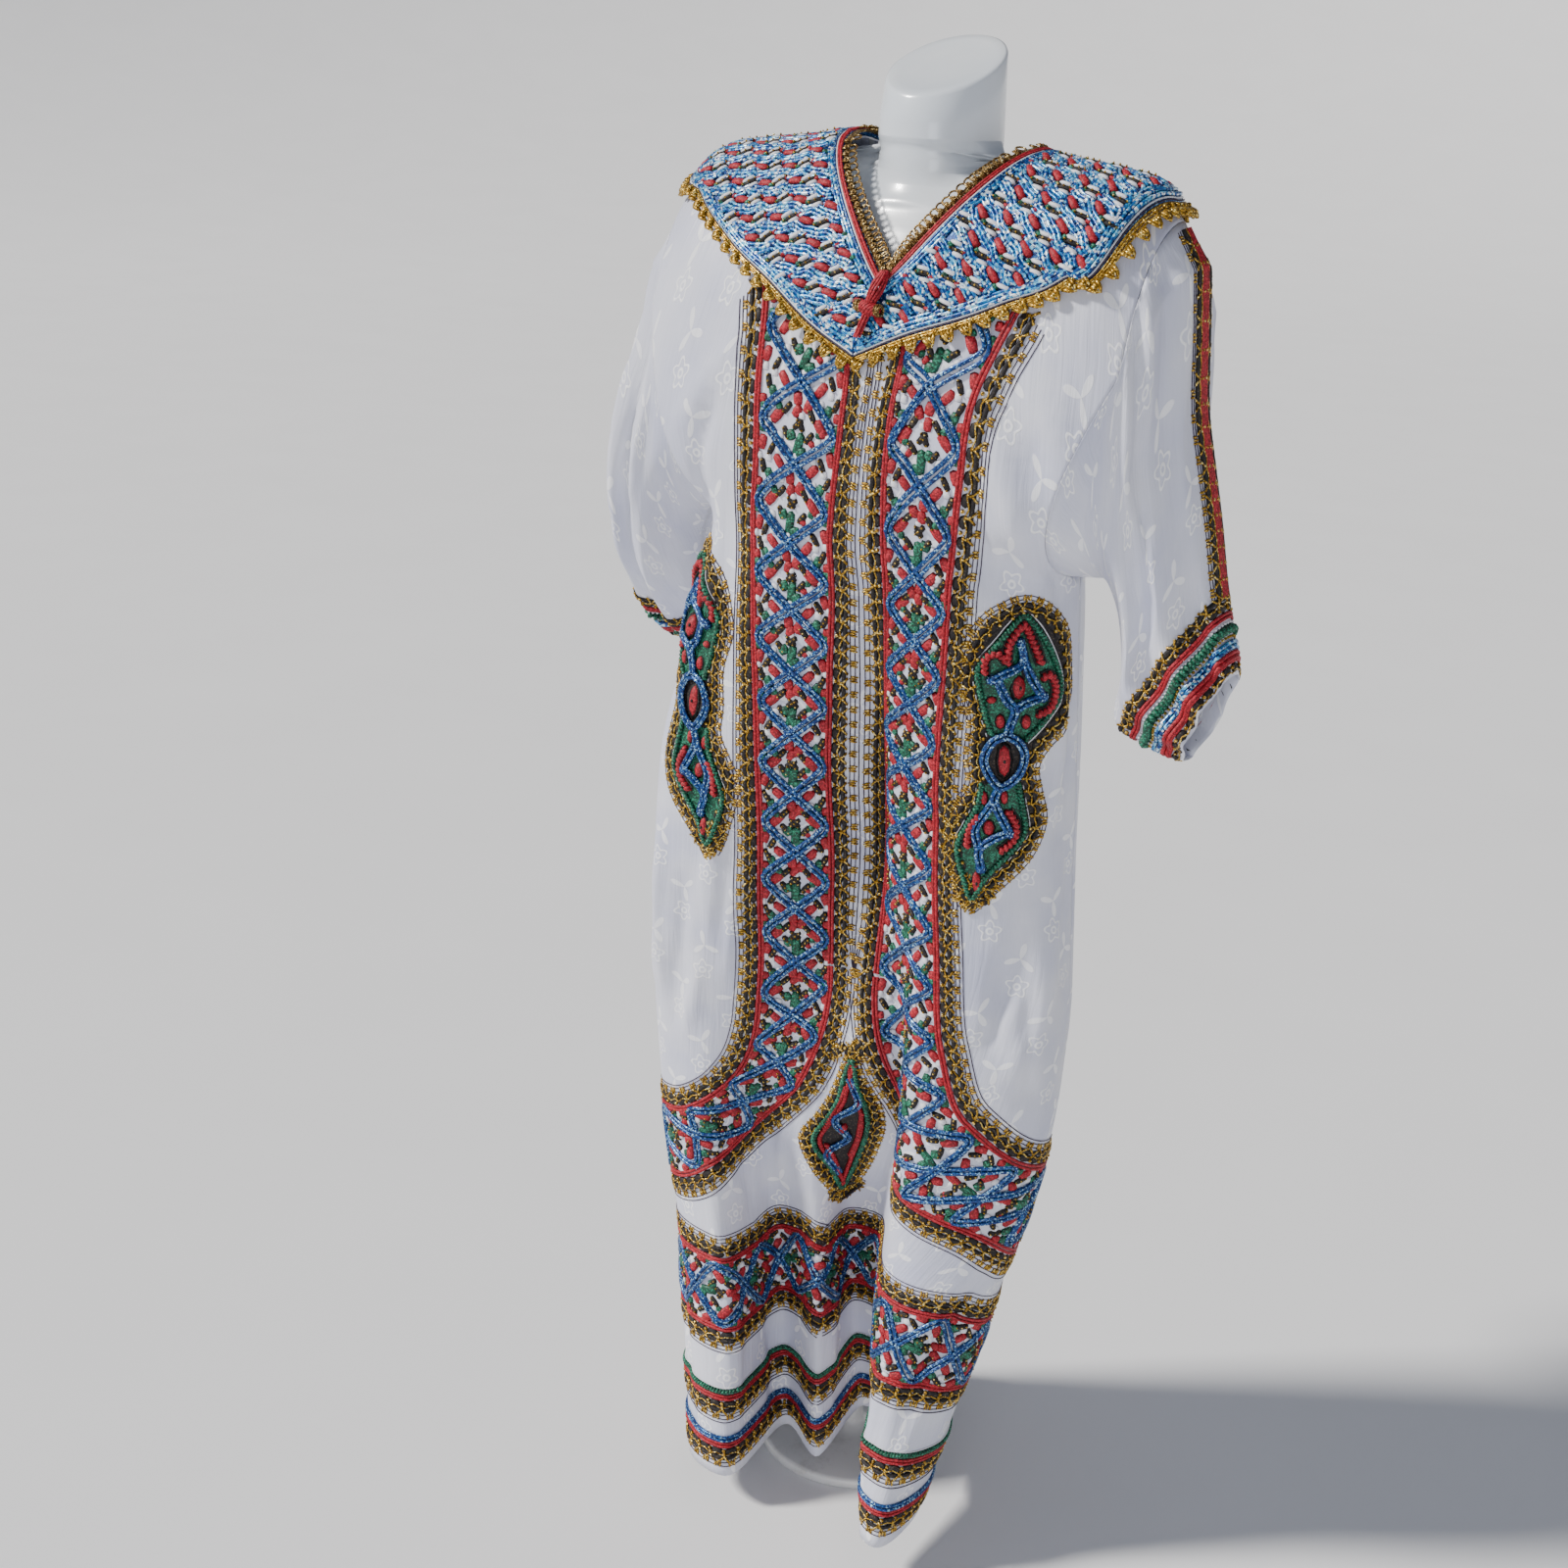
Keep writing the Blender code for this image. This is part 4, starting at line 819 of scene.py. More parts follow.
class Needlework:
    """Collects the cords and stitches of one piece of cloth, and makes one object for each thread."""

    def __init__(self, cloth):
        self.cloth, self.cords, self.stitches = cloth, {}, {}

    def cord(self, thread, thick, line, lift=0.0, keep=None):
        """A cord of that radius along (across, up) places, left out where the cloth ends."""
        line = np.asarray(line)
        kept = self.cloth.holds(line) if keep is None else self.cloth.holds(line) & keep
        points, _ = self.cloth.at(line, lift + thick * 0.7)
        edges = np.flatnonzero(np.diff(np.concatenate([[0], kept.astype(int), [0]])))
        for start, end in zip(edges[::2], edges[1::2]):
            if end - start > 1:
                self.cords.setdefault(thread, []).append((points[start:end], thick))

    def twin(self, thread, thick, line, apart, lift=0.0):
        """Two cords side by side, each of them that far from the line."""
        for way in (-apart, apart):
            self.cord(thread, thick, aside(line, way), lift)

    def loose(self, thread, thick, points):
        """A cord of that radius through points in space."""
        self.cords.setdefault(thread, []).append((np.asarray(points), thick))

    def sew(self, shape, thread, places, ways, size, lift=0.0, keep=None):
        """Stitches at places, each turned along its way on the cloth; size is length, width, height."""
        places, ways = np.asarray(places), np.asarray(ways)
        kept = self.cloth.holds(places) if keep is None else self.cloth.holds(places) & keep
        places, ways = places[kept], ways[kept]
        if len(places):
            points, up = self.cloth.at(places, lift)
            ahead, _ = self.cloth.at(places + ways * 0.001, lift)
            self.fix(shape, thread, points, up, (ahead - points) * self.cloth.sign, size)

    def fix(self, shape, thread, points, up, way, size):
        sizes = np.broadcast_to(size, points.shape)
        self.stitches.setdefault((shape, thread), []).append((points, up, way, sizes))

    def make(self, prefix, slot, *nodes):
        """Makes the objects; the first one stands for the nodes."""
        made = []
        for thread, runs in self.cords.items():
            points = np.concatenate([p for p, _ in runs])
            counts = np.cumsum([0] + [len(p) for p, _ in runs])
            edges = [(k, k + 1) for a, b in zip(counts, counts[1:]) for k in range(a, b - 1)]
            thick = np.concatenate([np.full(len(p), t) for p, t in runs])
            made.append(self.evaluated(f"{prefix}_{thread}_cord", points, edges, {"thick": thick}, CORD_TREE,
                                       Sides=int(np.searchsorted((0.0008, 0.0011), thick.max())) + 3,
                                       Material=THREADS[thread]))
        for (shape, thread), groups in self.stitches.items():
            points, up, way, size = (np.concatenate([g[k] for g in groups]) for k in range(4))
            made.append(self.evaluated(f"{prefix}_{thread}_{shape}", points, [],
                                       {"up": up, "way": way, "size": size}, STITCH_TREE,
                                       Stitch=STITCHES[shape], Material=THREADS[thread]))
        for k, piece in enumerate(made):
            fitted(piece, slot, *(nodes if k == 0 else ()))
        return made

    @staticmethod
    def evaluated(name, points, edges, values, tree, **inputs):
        mesh = bpy.data.meshes.new(name)
        mesh.from_pydata(points.tolist(), edges, [])
        for key, value in values.items():
            vector = value.ndim > 1
            layer = mesh.attributes.new(key, "FLOAT_VECTOR" if vector else "FLOAT", "POINT")
            layer.data.foreach_set("vector" if vector else "value", value.astype(np.float32).ravel())
        piece = object_of(name, mesh)
        modifier = piece.modifiers.new("make", "NODES")
        modifier.node_group = tree
        identifiers = {item.name: item.identifier for item in tree.interface.items_tree
                       if item.in_out == "INPUT"}
        for key, value in inputs.items():
            modifier[identifiers[key]] = value
        bpy.context.view_layer.update()
        sewn = bpy.data.meshes.new_from_object(piece.evaluated_get(bpy.context.evaluated_depsgraph_get()))
        piece.modifiers.remove(modifier)
        sewn.name = name
        piece.data = sewn
        return piece


def even(line, step):
    """The line with its points at even steps."""
    run = run_of(line)
    at = np.linspace(0, run[-1], max(2, round(run[-1] / step) + 1))
    return np.stack([np.interp(at, run, line[:, k]) for k in range(line.shape[1])], -1)


def curve(points, step=0.003, closed=False):
    """A smooth line through points, with even steps."""
    points = np.asarray(points, float)
    if closed:
        knots = np.concatenate([points[-1:], points, points[:2]])
    else:
        knots = np.concatenate([2 * points[:1] - points[1:2], points, 2 * points[-1:] - points[-2:-1]])
    t = np.arange(12)[:, None] / 12
    fine = [b + t * (c - a) / 2 + t**2 * (a - 2.5 * b + 2 * c - d / 2) + t**3 * (1.5 * (b - c) + (d - a) / 2)
            for a, b, c, d in zip(knots, knots[1:], knots[2:], knots[3:])]
    return even(np.concatenate(fine + [knots[-2:-1]]), step)


def heading(line):
    ahead = np.gradient(line, axis=0)
    return ahead / np.maximum(1e-9, np.linalg.norm(ahead, axis=1, keepdims=True))


def aside(line, way):
    """The line moved sideways, to the left of its run for a positive way."""
    ahead = heading(line)
    return line + np.stack([-ahead[:, 1], ahead[:, 0]], -1) * np.reshape(way, (-1, 1))


def spaced(line, pitch, start=0.5):
    """Places at a pitch along a line, and the heading at each."""
    run = run_of(line)
    count = max(1, int(run[-1] / pitch))
    at = (np.arange(count) + start) * run[-1] / count
    ahead = heading(line)
    return tuple(np.stack([np.interp(at, run, t[:, k]) for k in (0, 1)], -1) for t in (line, ahead))


def turned_by(ways, degrees):
    c, s = math.cos(math.radians(degrees)), math.sin(math.radians(degrees))
    return ways @ np.array([(c, s), (-s, c)])


# Borders and lattice of the bands
# Each band is edged with two rows of red chain, black scallops, gold forks with knots, and fine dark
# lines with gold ticks. Zigzag double cords in blue cross inside it, round small blocks of colour. All
# of it is sewn through the cloth.

PITCH = 0.0160                       # of the scallops, forks, knots and ticks
# ways out from the border's line: both rows of red chain, gold knots, black scallops, the middle of the
# gold wave, gold forks, the black cord under them, and the fine lines
RED_LINE, KNOTS, SCALLOPS, WAVE, FORKS, BASE = 0.0017, 0.0062, 0.0074, 0.0100, 0.0130, 0.0140
FINE_LINES = (0.0192, 0.0232, 0.0268)


def border(work, line, out, fine=FINE_LINES, keep=None, pitch=PITCH, red=True):
    """Sews a border on the line's left (out +1) or right (out -1); the line is its row of red chain."""
    def held(places):
        return None if keep is None else keep(places)

    def row_of(shape, thread, way, size, start, lift, back=1):
        places, ways = spaced(aside(line, out * way), pitch, start)
        work.sew(shape, thread, places, back * out * ways, size, lift=lift, keep=held(places))

    for way in (-RED_LINE, RED_LINE) if red else ():
        row = aside(line, out * way)
        work.cord("red", 0.0018, row, keep=held(row))
    row_of("scallop", "black", SCALLOPS, (0.96 * pitch, 0.0100, 0.0022), 0.5, 0.0)
    base = aside(line, out * BASE)
    work.cord("black", 0.0026, base, lift=-0.0014, keep=held(base))
    run = run_of(line)
    count = max(1, int(run[-1] / pitch))
    chain = aside(line, out * (WAVE + 0.0013 * np.cos(2 * np.pi * count * run / run[-1])))
    work.cord("gold", 0.0009, chain, lift=0.0010, keep=held(chain))
    row_of("fork", "gold", FORKS, (0.92 * pitch, 0.0105, 0.0085), 0.0, 0.0006)
    row_of("bead", "gold", KNOTS, (0.0046, 0.0046, 0.0030), 0.0, 0.0010)
    for way in fine:
        row = aside(line, out * way)
        work.cord("dark", 0.0006, row, keep=held(row))
    if fine:
        row_of("patch", "gold", fine[0] + 0.0014, (0.0088, 0.0078, 0.0018), 0.5, 0.0)


# thread, along and across from the middle of a lattice cell, degrees, length, width, in millimetres
CELL = [
    ("red", -20, 4, 10, 14, 11), ("red", -15, -7, -25, 14, 11), ("red", -10, 2, 80, 10, 14),
    ("green", 15, 0, 84, 10, 24), ("green", 22, -4, 10, 11, 14), ("green", 10, 8, 30, 11, 12),
    ("red", -2, -22, 50, 20, 11), ("red", -1, 22, -50, 20, 11),
    ("black", -10, -12, 45, 15, 7), ("black", 0, 0, 45, 15, 7), ("black", 9, 11, 45, 15, 7),
    ("black", -9, 12, -45, 15, 7), ("black", 0, 1, -45, 15, 7), ("black", 9, -11, -45, 15, 7),
    ("white", -18, 15, 0, 10, 9), ("white", -19, -16, 0, 10, 9), ("white", 5, -30, 0, 11, 9),
    ("white", 6, 30, 0, 11, 9), ("white", 11, -20, 30, 11, 9), ("white", 13, 19, 0, 10, 9),
    ("white", 27, 0, 0, 8, 9), ("green", -8, 20, 40, 9, 8), ("red", 12, -14, 60, 9, 7),
    ("white", -6, -1, 0, 7, 7), ("green", 4, -19, 0, 8, 7),
]
# the same for the three-cornered gap between two cells, on each side of the band
CORNER = [
    ("red", -13, 35, -20, 16, 10), ("black", -7, 27, -35, 15, 7), ("black", 7, 33, 25, 15, 7),
    ("red", 2, 18, 48, 18, 10), ("green", 14, 27, 30, 13, 10), ("green", 26, 36, 0, 12, 10),
    ("green", -25, 36, 0, 11, 9), ("white", 1, 28, 0, 9, 8), ("white", -4, 37, 0, 9, 7),
    ("white", 12, 19, 0, 8, 8), ("red", 18, 36, 0, 10, 9), ("white", -9, 18, 0, 9, 8),
]
KNOT = 0.0024                        # gold knots on the black bars
CELL_LONG, HALF = 0.066, 0.041       # length and half width of the cell that the tables are drawn for
SWING, POINTED = 0.86, 0.95          # how far out the blue cords swing, and how pointed their turns are


def knots_on(work, places, ways, reach, lift, keep=None):
    """Three gold knots along each bar: one at its middle, and one that far on each side of it."""
    for way in (-reach, 0.0, reach):
        work.sew("bead", "gold", places + ways * way, ways, (KNOT, KNOT, KNOT), lift=lift, keep=keep)


def lattice(work, inner, outer, seed=3):
    """Fills the band between its two red lines, which run side by side with the same number of points."""
    rng = np.random.default_rng(seed)
    centre, half = (inner + outer) / 2, (outer - inner) / 2
    run = run_of(centre)
    cells = max(1, round(run[-1] / CELL_LONG))
    cell = run[-1] / cells
    length = np.arange(0, run[-1], 0.004)
    ahead = np.diff(centre, axis=0)
    mirror = -np.sign((ahead[:, 0] * half[:-1, 1] - ahead[:, 1] * half[:-1, 0]).sum())

    def on(way, share):
        """Places a way along the band and a share of its half width across it."""
        middle, wide = (np.stack([np.interp(way, run, t[:, k]) for k in (0, 1)], -1)
                        for t in (centre, half))
        return middle + wide * np.reshape(share, (-1, 1))

    for sign in (-1, 1):
        wave = np.arcsin(POINTED * np.sin(np.pi * length / cell)) / math.asin(POINTED)
        work.twin("blue", 0.0024, on(length, sign * SWING * wave), 0.0026, lift=0.0006 if sign > 0 else 0.0)
    for table, shift, sides in ((CELL, 0.5, (1,)), (CORNER, 0.0, (1, -1))):
        for thread, down, across, degrees, long, wide in table:
            for side in sides:
                at = (np.arange(cells + (shift == 0.0)) + shift) * cell + down * 0.001 * cell / CELL_LONG
                share = side * across * 0.001 / HALF + rng.uniform(-0.03, 0.03, len(at))
                at = at + rng.uniform(-0.0012, 0.0012, len(at))
                good = (at > 0.003) & (at < run[-1] - 0.003)
                at, share = at[good], share[good]
                if not len(at):
                    continue
                places = on(at, share)
                ways = turned_by(ahead_of(on, at), mirror * side * degrees + rng.uniform(-6, 6))
                high = 0.0028 if thread != "white" else 0.0022
                work.sew("bar", thread, places, ways, (long * 0.001, wide * 0.001, high))
                if thread == "black":
                    knots_on(work, places, ways, 0.30 * long * 0.001, lift=0.0018)


def ahead_of(on, at):
    """Unit headings along a band at those ways."""
    ahead = on(at + 0.002, 0.0) - on(at - 0.002, 0.0)
    return ahead / np.maximum(1e-9, np.linalg.norm(ahead, axis=1, keepdims=True))


# Front bands
# Two broad embroidered bands run down the front from under the collar, one on each side of the centre
# strip. Below the waist they turn outwards to the side seams.

# across and up of the red line towards the centre front, and of the one towards the side, in
# millimetres
RIGHT_BAND = np.array([
    (-32, 1300, -158, 1325), (-28, 1270, -141, 1285), (-22, 1225, -128, 1235), (-17, 1146, -110, 1150),
    (-17, 1046, -106, 1046), (-29, 945, -106, 945), (-40, 840, -111, 840), (-37, 730, -110, 730),
    (-30, 640, -103, 640), (-28.5, 600, -104, 575), (-33, 560, -108, 535), (-47, 510, -120, 497),
    (-69, 461, -145, 462), (-100, 418, -175, 437), (-145, 383, -205, 426), (-200, 352, -250, 420),
    (-270, 340, -300, 415), (-350, 335, -350, 410),
]) * 0.001
LEFT_BAND = np.array([
    (50, 1300, 172, 1330), (48, 1270, 148, 1285), (44, 1225, 129, 1235), (42, 1170, 121, 1170),
    (41, 1100, 111, 1100), (40, 1055, 105, 1055), (33, 953, 100.5, 953), (24, 880, 102, 870),
    (20, 820, 107, 818), (20, 735, 110, 730), (20, 660, 117.5, 665), (23, 600, 128, 620),
    (36, 546, 143, 584), (62, 495, 171, 533.5), (100, 448, 204.5, 505), (145, 420, 247, 479),
    (195, 406, 300, 460), (260, 388, 350, 448), (330, 355, 400, 440), (400, 335, 450, 430),
]) * 0.001
LINES_END, STRIP_TOP = 0.655, 1.285  # foot and head of the fine lines beside the centre front
STRIP_LINES = (-0.0098, -0.0052, -0.0008, 0.0044, 0.0092)


def levelled(cloth, pair):
    """Two lines side by side, with the heights of their points in space turned into ways up the cloth."""
    done = pair.copy()
    for k in (0, 2):
        for _ in range(6):
            points, _ = cloth.at(done[:, k:k + 2])
            done[:, k + 1] += np.where(pair[:, k + 1] > CHEST, pair[:, k + 1] - points[:, 2], 0.0)
    return done


def front_bands(work):
    for table, out in ((RIGHT_BAND, -1), (LEFT_BAND, 1)):
        pair = levelled(work.cloth, curve(table, 0.005))
        inner, outer = pair[:, :2], pair[:, 2:]
        border(work, inner, -out, fine=(), keep=lambda places: places[:, 1] > LINES_END - 0.02)
        border(work, inner, -out, keep=lambda places: places[:, 1] <= LINES_END - 0.02)
        border(work, outer, out)
        lattice(work, inner, outer)
    heights = np.linspace(STRIP_TOP, LINES_END - 0.03, 160)
    left, right = (np.interp(heights, t[::-1, 1], t[::-1, 0]) for t in (RIGHT_BAND, LEFT_BAND))
    middle = np.stack([(left + right) / 2, heights], -1)
    squeeze = np.clip((heights - LINES_END + 0.03) / 0.06, 0.1, 1)
    for way in STRIP_LINES:
        work.cord("dark", 0.0007, aside(middle, way * squeeze))
    for way, shift in ((-0.0068, 0.0), (0.0068, 0.0035)):
        line = aside(middle, way * squeeze)
        places, ways = spaced(line - (0.0, shift), PITCH)
        work.sew("patch", "gold", places, turned_by(ways, 8 if way > 0 else -8), (0.0078, 0.0090, 0.0018))


front_work = Needlework(FRONT)
front_bands(front_work)

# Side motifs and the small diamond
# A double-lobed motif lies on each side of the front, and a small diamond between the flares. Each is
# a black ground in a gold and black border, with twisted green cord, red scrolls and blue knotwork sewn
# on it, and the motifs have two green fields as well.

MOTIF_TOP, MOTIF_LEAN = (0.173, 1.063), 0.112
MOTIF_WIDER, MOTIF_OUT = 1.06, 0.020  # wider than drawn; on the wearer's right it is that much further out
BLACK_IN, BORDER_IN = 0.0110, 0.0232  # from the edge in to the black ground, and to the border's line
# every place below is (to the side, down) from the motif's top, in millimetres
MOTIF_EDGE = [(0, 0), (21, 4), (40, 19), (54, 48), (58, 90), (54, 111), (40, 130), (21, 149), (9, 168),
              (12, 192), (17, 215), (14, 236), (-2, 265), (-31, 295), (-63, 325), (-72, 310), (-78, 277),
              (-83, 236), (-71, 210), (-59, 187), (-60, 159), (-57, 121), (-65, 85), (-61, 64), (-50, 38),
              (-31, 15)]
UPPER_GREEN = [(-35, 136), (-41, 111), (-45, 81), (-42, 67), (-21, 41), (-12, 30), (1, 19), (12, 30),
               (25, 57), (33, 83), (31, 100), (14, 121), (-5, 140)]
LOWER_GREEN = [(-12, 182), (-8, 206), (-6, 234), (-24, 260), (-42, 281), (-57, 305), (-63, 284),
               (-67, 253), (-57, 229), (-47, 206), (-44, 185)]
BLUE_KNOTS = [
    [(-21, 135), (-34, 142), (-42, 161), (-35, 180), (-26, 187), (-12, 175), (-6, 156), (-11, 142),
     (-21, 135)],
    [(-32, 81), (-21, 74), (-5, 65), (-4, 48)], [(-4, 48), (3, 78), (11, 97)],
    [(-28, 81), (-21, 100), (-14, 110), (-19, 126), (-21, 135)], [(11, 97), (-5, 104), (-14, 110)],
    [(-28, 187), (-33, 201), (-27, 218), (-20, 233)], [(-20, 233), (-35, 241), (-47, 253), (-46, 272)],
    [(-33, 201), (-41, 215), (-50, 232), (-47, 253)],
]
BLUE_ENDS = [(-4, 46), (-33, 81), (13, 98), (-19, 235), (-46, 273)]
RED_SCROLLS = [
    [(-19, 66), (-15, 45), (0, 28), (9, 45), (13, 66)], [(-39, 76), (-37, 61), (-26, 55), (-18, 64)],
    [(12, 79), (21, 77), (26, 91), (20, 109), (6, 115)], [(-21, 211), (-14, 225), (-16, 241), (-29, 254)],
    [(-58, 252), (-55, 232), (-47, 218)],
]
# to the side, down, half width, half height
RED_PETALS = [(-9, 89, 8, 13), (-27, 122, 5, 8), (-4, 122, 5, 8), (-34, 101, 5, 4), (-24, 161, 7, 18),
              (-24, 198, 4, 8), (-42, 200, 4, 8), (-38, 230, 6, 9), (-51, 288, 5, 13)]
GROUND_LIFT, GREEN_LIFT = 0.0007, 0.0012


def ground(name, cloth, outline, thread, lift, step=0.003):
    """A flat filled shape of satin stitch on the front, inside a closed outline, as a closed sheet."""
    low, high = outline[:, 1].min(), outline[:, 1].max()
    rows, wide = [], 14
    after = np.roll(outline, -1, 0)
    for height in np.arange(low + 0.001, high, step):
        cuts = (outline[:, 1] - height) * (after[:, 1] - height) < 0
        a, b = outline[cuts], after[cuts]
        cross = a[:, 0] + (b[:, 0] - a[:, 0]) * (height - a[:, 1]) / (b[:, 1] - a[:, 1])
        if len(cross) > 1:
            rows.append(np.stack([np.linspace(cross.min(), cross.max(), wide), np.full(wide, height)], -1))
    places = np.array(rows)
    points, normals = (table.reshape(len(rows), wide, 3) for table in cloth.at(places.reshape(-1, 2), lift))
    return wall(name, points, normals, places[..., 0], places[:, 0, 1], THREADS[thread], "front_panel",
                thickness=lift + 0.0001)


def rope(work, line, thread, thick, lift=0.0, keep=None):
    """A twisted cord: short slanting stitches packed along a line."""
    places, ways = spaced(line, thick * 0.62)
    held = None if keep is None else keep(places)
    work.sew("bar", thread, places, turned_by(ways, 48), (thick * 1.25, thick * 0.8, thick * 0.75),
             lift=lift, keep=held)


def side_motif(work, side, name):
    def placed(points):
        points = np.asarray(points, float) * 0.001
        start = MOTIF_TOP[0] + (MOTIF_OUT if side < 0 else 0.0)
        return np.stack([side * (start + MOTIF_WIDER * points[:, 0] + MOTIF_LEAN * points[:, 1]),
                         MOTIF_TOP[1] - points[:, 1]], -1)

    edge = curve(placed(MOTIF_EDGE), 0.003, closed=True)
    inward = side * -1
    black = aside(edge, inward * BLACK_IN)
    grounds = [ground(f"{name}_black_ground", work.cloth, black, "black", GROUND_LIFT)]
    border(work, aside(edge, inward * BORDER_IN), -inward, fine=FINE_LINES[:2], pitch=0.0132, red=False)
    for k, outline in enumerate((UPPER_GREEN, LOWER_GREEN)):
        line = curve(placed(outline), 0.002)
        filled = np.concatenate([line, line[:1]])
        grounds.append(ground(f"{name}_green_ground_{k}", work.cloth, filled, "green", GREEN_LIFT))
        rope(work, line, "green", 0.0062, lift=0.0008)
        work.cord("white", 0.0007, aside(line, 0.0046 * side), lift=0.0006)
    for scroll in RED_SCROLLS:
        line = curve(placed(scroll), 0.002)
        work.cord("black", 0.0036, line, lift=-0.0006)
        work.twin("black", 0.0012, line, 0.0046, lift=0.0010)
        rope(work, line, "red", 0.0078, lift=0.0014)
    for x, down, wide, tall in RED_PETALS:
        centre = placed([(x, down)])
        upright = placed([(x, down - 1)]) - centre
        upright /= np.linalg.norm(upright)
        work.sew("scallop", "black", centre, upright, (2.3 * tall * 0.001, 2.5 * wide * 0.001, 0.0024),
                 lift=0.0006)
        work.sew("scallop", "red", centre, upright, (2 * tall * 0.001, 2 * wide * 0.001, 0.0042), lift=0.0008)
        if tall > 10:
            work.sew("bead", "black", centre, upright, (0.0050, 0.0034, 0.0024), lift=0.0042)
    for line in BLUE_KNOTS:
        work.twin("blue", 0.0023, curve(placed(line), 0.002), 0.0023, lift=0.0026)
    ends = placed(BLUE_ENDS)
    for turn in range(0, 180, 45):
        ways = np.tile(turned_by(np.array([[1.0, 0.0]]), turn), (len(ends), 1))
        work.sew("bar", "blue", ends, ways, (0.0125, 0.0040, 0.0050), lift=0.0016)
    return grounds


# (across, up) of the small diamond's outer line, green cord, blue line and red scrolls, in millimetres
DIAMOND_EDGE = np.array([(6, 559), (18, 520), (36, 485), (48, 449), (46, 405), (40, 360), (31, 318),
                         (4, 345), (-22, 378), (-42, 416), (-28, 455), (-14, 505)]) * 0.001
DIAMOND_GREEN = np.array([(4, 533), (14, 497), (29, 452), (27, 395), (20, 347), (-4, 385), (-24, 420),
                          (-12, 462)]) * 0.001
DIAMOND_BLUE = np.array([(4, 512), (14, 480), (-6, 452), (12, 428), (-8, 402), (10, 372)]) * 0.001
DIAMOND_RED = np.array([[(0, 500), (-9, 470), (-15, 436)], [(20, 470), (22, 430), (18, 398)],
                        [(-10, 416), (2, 392), (12, 366)]]) * 0.001


def small_diamond(work):
    edge = curve(DIAMOND_EDGE, 0.003, closed=True)
    black = aside(edge, -BLACK_IN)
    grounds = [ground("diamond_black_ground", work.cloth, black, "black", GROUND_LIFT)]
    border(work, aside(edge, -0.0215), 1, fine=(0.0175, 0.0212), pitch=0.0120, red=False)
    green = curve(DIAMOND_GREEN, 0.002, closed=True)
    rope(work, green, "green", 0.0062, lift=0.0008)
    rope(work, aside(green, -0.0062), "red", 0.0052, lift=0.0008)
    for scroll in DIAMOND_RED:
        rope(work, curve(scroll, 0.002), "red", 0.0056, lift=0.0010)
    work.twin("blue", 0.0023, curve(DIAMOND_BLUE, 0.002), 0.0023, lift=0.0014)
    work.sew("scallop", "red", np.array([(0.004, 0.440)]), np.array([(0.3, 1.0)]), (0.020, 0.010, 0.0046),
             lift=0.0008)
    return grounds


front_grounds = side_motif(front_work, 1, "left_motif") + side_motif(front_work, -1, "right_motif")
front_grounds += small_diamond(front_work)

# Hem bands
# Round the skirt, front and back, run a broad lattice band, a band of twisted green cord with red and
# gold, and a last band of blue, red and gold along the hem.

# across, height of the lattice band's upper red line there
HEM_TOP = np.array([(-0.50, 0.272), (-0.25, 0.274), (-0.10, 0.271), (-0.07, 0.281), (-0.03, 0.291),
                    (0.00, 0.277), (0.05, 0.284), (0.10, 0.295), (0.20, 0.293), (0.30, 0.289), (0.36, 0.272),
                    (0.50, 0.262)])
BACK_TOP = 0.276                     # its height all along the back
HEM_LATTICE = 0.076                  # from the upper red line down to the lower one
SECOND_BAND, HEM_BAND = 0.133, 0.081  # heights of the two narrow bands' cords


def hem_bands(work, top, low, high):
    across = np.arange(low, high, 0.004)
    mean = top[:, 1].mean()
    lifted = np.interp(across, top[:, 0], top[:, 1]) - mean
    upper = np.stack([across, mean + lifted], -1)
    lower = np.stack([across, mean - HEM_LATTICE + 0.7 * lifted], -1)
    border(work, upper, 1)
    border(work, lower, -1)
    lattice(work, lower[::-1], upper[::-1], seed=5)
    second = np.stack([across, SECOND_BAND + 0.4 * lifted], -1)
    rope(work, second, "green", 0.0056)
    work.cord("white", 0.0007, aside(second, 0.0036))
    border(work, aside(second, -0.0062), -1)
    last = np.stack([across, HEM_BAND + 0.2 * lifted], -1)
    work.twin("blue", 0.0019, last, 0.0018)
    border(work, aside(last, -0.0062), -1, fine=FINE_LINES[:2])


hem_bands(front_work, HEM_TOP, low=-0.46, high=0.52)
front_threads = front_work.make("front_needlework", "front_panel")
back_work = Needlework(BACK)
hem_bands(back_work, HEM_TOP * (1.0, 0.0) + (0.0, BACK_TOP), low=-0.60, high=0.60)
back_threads = back_work.make("back_needlework", "back_panel")

# Sleeves
# Each sleeve is one folded width of the damask, with its seam underneath, set into the armhole. A gold
# and red border runs down the fold on top, and cords and beads go round the cuff between two borders.

